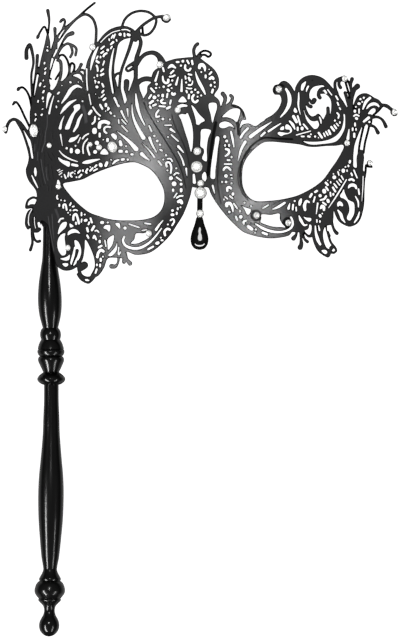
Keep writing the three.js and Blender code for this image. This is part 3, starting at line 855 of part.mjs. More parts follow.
const lean = Math.atan2(gluedZ - stickZ, STICK_GLUED_Y - STICK_BALL_Y);
stickGeometry.translate(0, -STICK_BALL_Y, 0).rotateX(lean).translate(0, STICK_BALL_Y, stickZ);
const stickPlaces = stickGeometry.getAttribute("position");
for (let i = 0; i < stickPlaces.count; i++) {
  stickPlaces.setX(i, stickPlaces.getX(i) + stickX(stickPlaces.getY(i)));
}
const belowFloor = new THREE.BoxGeometry(40, 300, 20).translate(gluedX, -100, floor - 10);
const stick = solidOf(stickGeometry).subtract(solidOf(belowFloor));
addMesh("handle", bentGeometry(stick, () => 0, 1), 0x0a0a0b, 0.1);

// The middle of the underside becomes the origin
const whole = new THREE.Box3().setFromObject(part);
const middle = whole.getCenter(new THREE.Vector3());
for (const mesh of part.children) mesh.geometry.translate(-middle.x, -middle.y, -whole.min.z);

export default part;
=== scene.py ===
"""Dresses the pierced metal stick mask: the sheet, its stones, the drop, the felt strip and the stick."""

import math

import bmesh
import bpy
import numpy as np
from bpy.props import FloatProperty, FloatVectorProperty, IntProperty, PointerProperty
from bpy.types import Operator, Panel, PropertyGroup
from mathutils import Matrix, Vector
from mathutils.geometry import delaunay_2d_cdt


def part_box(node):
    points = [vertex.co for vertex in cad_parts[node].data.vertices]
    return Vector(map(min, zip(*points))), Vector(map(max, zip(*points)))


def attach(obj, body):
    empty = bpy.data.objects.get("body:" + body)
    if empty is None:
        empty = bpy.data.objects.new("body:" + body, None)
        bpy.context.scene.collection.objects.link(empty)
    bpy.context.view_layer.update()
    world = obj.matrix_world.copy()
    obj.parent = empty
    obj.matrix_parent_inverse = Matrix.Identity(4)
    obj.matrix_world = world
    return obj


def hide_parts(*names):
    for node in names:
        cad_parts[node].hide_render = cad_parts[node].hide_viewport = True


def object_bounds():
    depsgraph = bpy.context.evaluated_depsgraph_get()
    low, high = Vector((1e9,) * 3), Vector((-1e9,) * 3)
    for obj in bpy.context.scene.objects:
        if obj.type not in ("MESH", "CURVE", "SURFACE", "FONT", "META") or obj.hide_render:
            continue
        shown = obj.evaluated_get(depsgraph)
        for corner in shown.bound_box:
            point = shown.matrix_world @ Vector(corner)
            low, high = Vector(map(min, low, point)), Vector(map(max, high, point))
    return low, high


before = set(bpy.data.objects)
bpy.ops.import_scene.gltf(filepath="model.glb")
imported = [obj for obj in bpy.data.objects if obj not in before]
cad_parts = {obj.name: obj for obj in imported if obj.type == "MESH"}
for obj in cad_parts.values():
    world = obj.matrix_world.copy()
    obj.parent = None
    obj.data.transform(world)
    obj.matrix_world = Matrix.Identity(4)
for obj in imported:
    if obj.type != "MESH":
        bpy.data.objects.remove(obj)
SOLID_LOW, SOLID_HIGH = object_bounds()

bl_info = {
    "name": "Filigree stick mask",
    "version": (1, 0, 0),
    "blender": (4, 5, 0),
    "location": "View3D > Sidebar > Mask",
    "description": "Builds a pierced black metal mask on a turned stick, with its stones and its drop",
    "category": "Object",
}

# A millimetre, how far the pieces stay inside the solids' box, and how near corners of the strip are
# joined, all in metres.
MM = 0.001
HAIR = 1e-7
WELD = 1e-6

# Drawing of the pierced sheet, in millimetres.
# x grows to the viewer's right and y up the face, and both are 0 at the bridge of the nose.
# Each row is one stroke or one plate. The first entry is the half width of a stroke, or a list of
# half widths along it, or 0 for a closed plate. The x, y pairs of its points follow.
BODY = [
["left wing and cheek", [
[0,-74.5,91,-76.2,84.7,-78.7,74.2,-79.5,67.1,-81.5,58.4,-83.4,52,-83.4,44,-84.2,27,-85.5,22.2,-84.3,
 17.5,-80.4,12,-80,8,-81.8,3,-82.3,-4,-81.9,-8.8,-78.5,-7,-77.5,-3,-72,-9,-71.3,-20,-70,-25.4,-66,-27.8,
 -61.5,-27,-57.4,-23,-56.1,-17,-55.7,-12.4,-51.6,-20.5,-51,-26,-53.2,-31.2,-49.8,-30.8,-46.5,-26.7,
 -44.4,-21.8,-40.5,-21.4,-36.9,-21.5,-35,-18.6,-31,-19.9,-27,-19.8,-23.7,-19,-20.2,-16.9,-13.4,-10.3,
 -9.9,-5,-7.1,-.5,-5,4.4,-3.2,9.7,-2.2,13.8,0,16,0,26,-2,40,-9,52,-20,57,-26.8,58,-28.5,60,-29.5,66,
 -31.7,65,-33.5,61.2,-36,55.2,-38,54.5,-45,58,-54,61,-56,63,-58,67.4,-63.4,69.3,-68,66.4,-71.5,62.5,
 -73.6,66,-73.4,74,-72,83]]],
["crown", [
[0,-9.5,46,-16,45,-22,50,-26.5,57.5,-24.9,61,-24.6,64,-22.8,66,-22.3,70,-20.8,72.2,-17.6,74,-15.8,75.9,
 -10.8,77.6,-7.4,78,-2.5,78.4,1.4,77.9,4.1,76,7.8,73.1,9.5,71.1,10.8,68,11,65.5,10.7,63,8.6,59.3,9.8,
 58.2,11,56.8,11.7,54,13,48,8,42,0,42]]],
["swan neck", [
[0,-31,91.5,-34.6,93.8,-38.1,94,-43,92.6,-46.8,89.6,-49.8,85.7,-52.3,81.7,-54.9,76,-55.8,70,-55.8,65,
 -56.3,61,-50,55,-42,55,-39,56.6,-40.3,60.1,-41.2,65.4,-41.6,70,-41.3,74.2,-40.2,81,-39,85.2,-36.5,87.3,
 -32.5,88.6]]],
["nose and right column", [
[0,-9,50,2,46,11.7,54,14,53.2,17.6,54.9,19.9,54.4,21.9,53.2,23.3,51.3,24.2,48.7,24.5,47.4,22.5,47,21.6,
 45,21.1,42.2,22.5,44.6,25.6,45.4,29.1,44.1,33.3,46.6,45,45,45,30,45,15,45,8,49.7,-8.4,47.4,-8.7,45.9,
 -10.3,42.1,-11.3,36.9,-11.8,31.6,-11.2,28,-10.4,23.1,-8.6,18.3,-4.6,14.1,-.1,10,5.2,7,10.1,5.5,13.3,2,
 13.6,-2,13.8,-3,24,-3.2,34]]],
["right wing", [
[0,33.3,46.6,37.6,49.7,40.2,52.3,41.6,54.9,42.1,57.2,41.2,59.6,38.6,60,37.7,62.3,38.8,64.5,40.6,65,41.8,
 66.2,43.4,66.7,45.1,66.1,46.8,64.4,48.1,62.4,48.7,61.3,49.1,63.5,50.3,65.8,52,67.8,54.3,69.1,57.1,69.7,
 60,69.3,62.9,68.1,65.2,66.1,67.2,63.8,68.3,62.7,70.1,62,71,59.5,73.1,56.4,74.6,53.9,75.6,52.6,77.7,
 52.6,78.2,55,79.1,57.4,80.2,59.2,82,60.4,84.4,60.7,86.5,59.9,88.6,58.5,90.7,57.6,92.1,56,93,54.6,91.8,
 53.5,90,51.4,88,49.4,87,45,84,44.5,81,41,79.3,36,78.4,30,78.2,24,79.6,23.5,80,30,83.1,30,83,22,84.4,21,
 84.1,19,83.7,13.7,83.4,5,82.7,1.4,81.6,-2.1,79.8,-4.5,76.3,-5.9,73.2,-4.9,70.7,-3.1,69,0,68.2,2.4,68,
 -2,67.3,-4.8,63.5,-5,57.3,-5,57.5,-10.9,55.5,-11.3,54,-10,52.8,-8.8,49.6,-8.4,46,-3,44,8,46,28,34,
 36]]],
["lower right leaf", [
[0,57.4,-4,57.4,-10.5,58.4,-14.5,60.2,-18,62.4,-19.9,65.5,-21.3,66.6,-20,66.4,-17.6,64.6,-16.4,63,-12,
 63,-8,64.4,-4]]],
]
CUTS = [
["eye openings", [
[0,-66.7,15.5,-62,16.6,-57,17.7,-52,20.2,-48.2,21.8,-43,23.7,-37.7,25.3,-33.9,26,-31,26.1,-27.9,25.1,
 -23.7,22.9,-20.5,19.7,-18.1,15.8,-16.7,12.7,-16.2,9,-16.7,4.8,-18.3,1.6,-21.1,-.8,-24.6,-2.1,-29.2,
 -2.8,-34.5,-2.9,-39.7,-2.8,-45,-1.9,-48.5,-.8,-53.4,1,-56.9,3.5,-60.4,6.6,-63.9,10.5,-66.6,14.3],
[0,22.5,20.4,22.9,23.9,24.2,27.2,26.9,31,30.2,34.1,33.3,36,36.9,36.4,42.1,36,47.4,35.5,51.8,34.9,55.3,
 34,58.8,33.8,64,34.3,69.3,34.5,72.8,34.9,73.3,33.9,72.1,31.1,69.7,26.9,67.2,23.4,63.3,17.9,59.8,14.8,
 55.3,12,50,9.5,46.5,8.5,40.4,7.3,35.1,6.8,30.2,6.6,27,7.7,24.6,10.1,23.2,12.9,22.6,15.4]]],
["windows beside the nose", [
[0,-8.2,49.9,-5.1,50.9,-3.7,48.5,-2.4,44.3,-1.9,39.7,-2.1,34.4,-2.4,30.9,-1.2,27.4,-3,30.9,-4.4,36.2,
 -6.1,41.4,-7.9,47.1,-9.1,49.5],
[0,-2.9,54.7,-1.4,53.4,1.1,50,3.9,46.8,2.1,45.7,0,43.9,-.7,47.4,-1.7,50.9],
[0,6,55.4,9.5,55.5,10,53.4,8.8,49.2,7.7,45.5,6.7,50.2,5.8,53.4],
[0,2.3,42.3,6.9,41.9,5.6,37.9,4.9,32.7,4.7,26.4,2.5,27.8,3.5,30.9,3.2,32.7,1.8,33.7,1.8,37.9],
[0,9.5,38.8,8.6,34.4,7.4,27.4,6.7,20.4,6.9,18,8.8,17.8,9.2,22.2,9.9,27.4,10.4,32.7,11,38.7],
[[.6,.85],-1.6,19.7,-1.3,16],
[0,3.9,21.3,4.7,19.6,4.6,17.2,3.6,16.2,2.6,17.6,2.6,19.9],
[[.55,.3],7.8,14.3,8.8,10.6]]],
["plume slits", [
[0,-71,77.6,-72.3,75.5,-73.1,73,-73.3,70.5,-72.9,68.5,-72.5,67,-73,65,-73.3,62.7,-71.5,62.2,-70.2,63.8,
 -68.7,72.1],
[0,-68,78.4,-65.9,77.3,-64.8,70,-67.3,66.4,-67.3,75.9],
[[.2,.4],-70.4,82.2,-71.5,79.1],
[0,-74.3,61.1,-72.5,60.7,-73.9,57.2,-75.3,52],
[[.3,.45,.55],-71.5,59.3,-72.9,54.8,-73.8,50.6],
[[.2,.4,.2],-79,70.5,-80.3,65.4,-81.7,57.3],
[[.2,.6,.5],-86.5,42.8,-84,37.9,-82.2,28.5],
[[.5,.8,.4],-80.8,23.2,-80.7,21.5,-80.6,19.5],
[[.3,.5,.3],-82.5,19.7,-81,16.5,-79.4,13.4]]],
["cheek plume windows", [
[[.3,.9,1,.8,.3],-57.4,63.3,-59.9,64.2,-62.7,62.6,-64.8,59.4,-67.6,55.6],
[[.3,.9,.9,.2],-60.3,57.4,-63.4,55.8,-65.9,53.4,-68.3,50.2],
[[.2,.5,.8],-66.2,49.5,-67.6,46.4,-68.3,43.2],
[0,-59.9,55.1,-58.5,55.1,-58.3,53,-60.6,50.6,-62,47.4,-63.1,44.3,-63.8,42.7,-65.9,42.7,-64.8,46,-63.1,
 49.5,-61.3,52.3,-61.7,54.1],
[[.5,.8,.8,.5],-57.4,49.9,-58.9,47.4,-59.8,44.5,-61.5,41.6],
[0,-58.5,40.4,-59.9,37.9,-62.4,36.2,-64.1,36.4,-63.1,38.3,-60.6,39],
[[.45,.2],-68.1,40,-67.1,34.1],
[[.3,.45,.45,.3],-68.7,32,-66.9,29.9,-63.4,27.8,-59.6,26.5],
[0,-69.4,28.8,-66.9,27.4,-63.4,26.2,-63.8,23.9,-66.2,25,-68.7,27],
[.72,-62.2,25,-59.8,24.5],
[0,-57.4,25.7,-56.4,26.7,-52.9,27.6,-47.8,27.8,-51.1,26.4,-54.6,25.3]]],
["swan neck slits", [
[.3,-48.1,85.9,-45.1,88.9,-41.9,91,-38.4,91.9],
[.35,-37.5,92.2,-34.9,92.2,-32.4,90.8],
[[.3,.75,.85,.6,.3],-49.3,83.7,-50.7,81,-51.8,78,-52.6,75,-53.1,72.2],
[.4,-55,72.8,-55,67.1,-54.6,62.2],
[.35,-53.9,60.1,-52.9,54.9],
[[.25,.6,.7,.55,.45],-41.4,83,-42.4,78.6,-43.3,71,-43,67.4,-41.9,60.7],
[[.55,.7],-41.2,58.2,-39.1,54.2]]],
["cheek slits", [
[.45,-51.9,53.7,-50,50.9,-48.2,49.3],
[[.6,.25],-37.7,51.6,-36.3,48.5,-34.6,46],
[[.5,.2],-34.7,52.7,-34.3,48.5],
[[.15,.7,1.2],-40.2,41.8,-36.7,39,-33.1,35.8,-30.3,32.7],
[[.2,.7,1.1],-32.4,55.1,-32.1,50.2,-30.7,45.7,-28.9,42.1,-26.7,38.3],
[[.35,.9,.6,.4],-30.5,60.2,-30,55.5,-28.9,50.9,-27.5,47.4,-26,44.6],
[[.7,.5,.3],-23.7,38.3,-22.3,34.8,-20.2,31.1],
[[.2,.5],-27.2,35.5,-24,32.3,-21.2,28.6],
[[1,.3],-27.5,30.2,-25.8,28.6,-23.7,27.1],
[[.7,.3],-13.1,42.5,-10.9,40.9],
[[.3,.5],-9.5,31.4,-7.5,27.8,-6.5,24.6],
[[.55,.15],-5.4,22.9,-4.9,18.6],
[.4,-12.8,39.7,-9.3,36.5],
[0,-43,40,-41.6,40.6,-39.8,39,-40.5,37.2]]],
["lower cheek windows", [
[0,-30.4,-9.4,-26.7,-9.3,-24.6,-8.6,-22.5,-10.7,-24.3,-11.7,-26.7,-13.1,-30.3,-14.5,-33.1,-14.3,-31.3,
 -12.4],
[[.5,.7,.7,.5,.3],-36.2,-11,-36.9,-12.8,-35.8,-15.2,-32.9,-16.6,-28.9,-16.7,-24.4,-14.5,-21.4,
 -11.7,-19.3,-9.1,-17.6,-6.8],
[[.3,.7],-16.9,-2.9,-18.7,-5,-20.4,-7.5],
[.4,-33.8,-4.7,-28.9,-6.4],
[0,-41.5,-10.2,-44.6,-12.3,-44.6,-15.1,-44.3,-17.6,-42.9,-16.2,-41.7,-13.4],
[0,-39.9,-13.4,-40.8,-16.2,-44.3,-20.4,-42.9,-20.7,-40.1,-17.9],
[.35,-39,-16.2,-39.3,-19.7],
[0,-46.7,-6.7,-45.7,-5.3,-43.4,-5.3,-43.2,-7.1,-43.8,-8.5,-45,-7.4],
[0,-40.8,-4.4,-38.7,-4.3,-38.3,-7.1]]],
["ring at lower left", [
[0,-69.4,-9.9,-68.8,-6.4,-67.1,-3.9,-65,-3.6,-65.3,-6,-67.4,-8.1],
[0,-65.7,-9.2,-67.8,-9.9,-69.4,-12.3,-69.7,-15.8,-68.8,-18.6,-67.1,-20.4,-65.5,-19.7,-65.3,-17.6,-65.7,
 -14.1,-66,-11.3],
[.45,-69,-3.6,-68.1,-2.1,-66.7,-1.8],
[0,-63.6,-4.3,-61.5,-5.7,-63.2,-6.4],
[0,-64.5,-10.4,-64.3,-8.5,-62.2,-7.1,-60.1,-7.4,-58.1,-9.5,-60.4,-9,-62.9,-9.5],
[0,-61.1,-12.7,-59.7,-13,-58.2,-15.4,-57.7,-18.5,-58.5,-21.6,-60,-24,-61.6,-25.5,-63,-24.9,-62.3,-22.5,
 -61.2,-19.5,-60.7,-16.5,-61.1,-14.3],
[0,-68.5,-21.8,-66,-22.9,-63.9,-22.5,-63.4,-19.7,-64.6,-20.7,-66.7,-21.5],
[0,-67.3,-24.4,-65.7,-26,-64.3,-25.3,-64.3,-24.3],
[.7,-79,-4.2,-78.6,-6],
[.25,-81.2,-1.1,-81.1,-4.3,-80.6,-6.7]]],
["right column windows", [
[0,12.5,48.5,15.1,51.3,17.3,52.7,19.6,53,21.2,52.5,21.6,51.3,21.1,49,20.5,47.4,19.8,46.1,17.6,47.6,14.7,
 48.5],
[0,11,43.9,11.3,45.3,12.7,46.2,14.4,46.4,16.4,45.7,17.9,44.3,19,42.1,17.6,43.6,15.8,43.9,14.4,43.2,12.3,
 43],
[[.5,.6,.3],16.9,41.3,17.7,37.9,18.4,33.6],
[.6,25.4,43,23.2,40.7,21.7,38.3],
[[.9,.8,.2],26.6,38.8,31.5,42.4,37.4,46.4],
[[.6,.5,.3],35.7,41.5,38.5,43.4,41.8,45.5],
[.55,32,39.2,33.8,40.9],
[[.8,.6,.2],24,36.2,22.1,32.7,20.4,26.6],
[0,21.5,5.2,23.5,3.8,26.9,2.4,26.5,1,25.5,-.1,24.9,.2,23.8,2.4,22.5,4],
[0,32,0,36.9,-.1,41.1,.5,41.3,-2.2,42.5,-4.6,44.2,-6.4,42.1,-6.2,37.9,-6,34.4,-5,31.6,-3.6,32.1,-1.8],
[[.3,.7,.7,.6,.5,.6,.5],29,-4.5,33.4,-7.1,38.6,-8.6,43.2,-8.4,46.4,-7,47.7,-5,47.5,-2.7,46.8,
 -1.3],
[.4,32.8,3.1,35.6,4.8],
[[.3,.7,.6],37.7,2.7,40.4,3.8,43.7,5.9]]],
["right wing windows", [
[[.6,1,1,.7,.35],44.4,62.6,45.6,60.5,46.2,57.5,45.8,54.7,44.2,51.6,41.6,48.6],
[[.3,.5,.5,.4,.2],50.7,60.9,50.7,58,50.5,55,50.9,52.4,51.6,49.8],
[0,48.8,53.5,50.1,51.2,49.1,50.7,48.1,51.6],
[[.3,1,.7],54.2,66.3,52.9,64.3,52.4,62.5],
[[.5,.5,.25],55.5,64,54.9,62.9,54.5,61.3],
[0,63.3,64.4,60,64.3,58.3,63.8,56.8,62.4,56,60.1,55.9,57.5,53.7,57.3,54.2,54.3,54.9,52,56,50,57.4,49,
 58.9,49.4,60.3,50.4,61.4,49.8,62.4,48.3,63.3,47.2,64,48.3,64.8,50,66.4,50,67,53,66.8,57,65.4,59.4,63.8,
 61.7],
[0,52.7,53.4,53.7,50,54.8,46.9,56.6,44.6,58.6,42.7,60,43.1,60.9,44.6,60.7,46,60.1,46.9,58.6,46.6,56.9,
 46.9,55.5,48.2,54.2,50,53.5,52],
[[.4,.5,.3],61.1,48.7,61.7,47.2,61.9,45.5],
[0,44.9,45.1,46.3,44.3,47.4,42.5,47.3,41.3,45.5,40.2,43.5,39.8,41.9,39.1,40.1,40.5,40.6,41.2,42.5,41.1,
 45.4,40.8,46.3,41.4,46.1,42.3,45,42.4,44.1,42.7,43.9,43.8,44.2,44.8],
[0,43.3,44.1,43.3,42.3,41.3,42.3,41.5,43.1,42.3,43.9],
[.8,48.1,49,49.6,46.3],
[[.5,.8,.35],46.2,46.6,47.8,44.8,48.8,42.6],
[.5,50.2,49.2,51.5,44.8],
[.5,53.1,45.1,55.1,42.8],
[.35,49.5,39.7,56.6,41.7],
[0,52.5,36.8,54.8,36.5,57.7,36.4,60.6,36.5,63.4,36.9,66.3,37.7,69.4,39.5,71.6,42,72.7,44.8,73.2,48,73.1,
 50.3,73.7,50.3,74,47,73.8,43.4,72.6,40.5,71.2,38.3,69.2,36.5,66.3,35.7,62,35.2,59.1,34.9,56.6,35,54.8,
 35.5],
[[.3,.8],75.9,42.7,75.3,38],
[[.5,.7,1,.9,.7],82.5,43.4,81,39.5,79.8,35.6,79,30.4,78.7,24.4],
[[.6,1.1,1,.7],84.7,44.6,83.5,40.4,82.6,36,82,32.7],
[[.3,.3,.2],82.95,19.3,82.8,14,82.3,6.5]]],
["shell at right", [
[[.4,.8,.7],82.8,52.8,84.4,56.5,86.4,58.4],
[[.3,.65,.85,.75,.45],84.7,53,86.2,54.7,88.4,55.5,90.2,54.9,90.8,54.2],
[0,85.3,50.3,86.1,51.8,87.3,53,88.6,53.3,89.3,52.3,88.6,50.8,87.8,49.8,86.6,50.3],
[[.8,.6],85.7,48.5,83.3,46.6]]],
["snail scroll at right", [
[0,73.3,13,73.6,11.5,74.4,9.5,75.6,7.5,77,6.8,78.3,6,78.7,3,78.4,.5,77.5,-1.5,76.3,-2.9,75,-2.4,74.8,
 -1.2,75.9,1.5,75.9,4,75,6.5,73.3,8,71.7,8.6,71.3,9.5,72.3,11.2],
[0,70,4.3,69.9,5.8,71,6.8,72.2,6.3,73,4.8,72.6,4.1,71.2,4.6,70.4,3.9],
[[.4,.85,.75,.3],70.3,2.3,71.7,.3,72.4,-1.8,73.9,-3.9],
[[.35,.6,.4],81.1,1.4,80.2,-1.4,78.6,-3.8],
[[.35,.45,.25],74.6,17.6,70,10,65.6,3.4],
[[.3,.8,.9,.8,.6],75.5,13.3,76.3,14.5,77.7,14.9,79,14.4,79.5,13.3],
[[.35,.5,.35],79.1,9.2,80.4,6.7,80.6,3.9],
[[.6,.6],76,17.4,77.2,17.8,78.3,17.1],
[0,52.9,-.8,54.5,-1.4,56.9,-1.7,57,-2.8,56,-3.5,54.7,-2.9,53.6,-1.9],
[[.3,.8,.6,.4],50.8,-.5,51.9,-3,53.6,-5.3,54.8,-5],
[0,56,-4.8,57,-5.2,57.2,-7,56.7,-9.2,55.9,-10.1,54.6,-9.3,53.6,-7.9,55,-7.4,55.8,-6.4],
[[.35,.6,.9,.6],59,-5.6,59.3,-9.1,60.6,-13.3,61.5,-14.8],
[[.3,.5],60.6,-5.4,61.1,-7.7],
[0,62,-17.9,63.5,-17.4,64.8,-18,65,-19,64,-19.7,62.8,-18.9],
[[.7,.9,.7,.5],53.9,2.4,53.6,4.5,54.6,6.8,55.9,6.2],
[[.5,.3],60.2,5.7,59.5,.4]]],
]
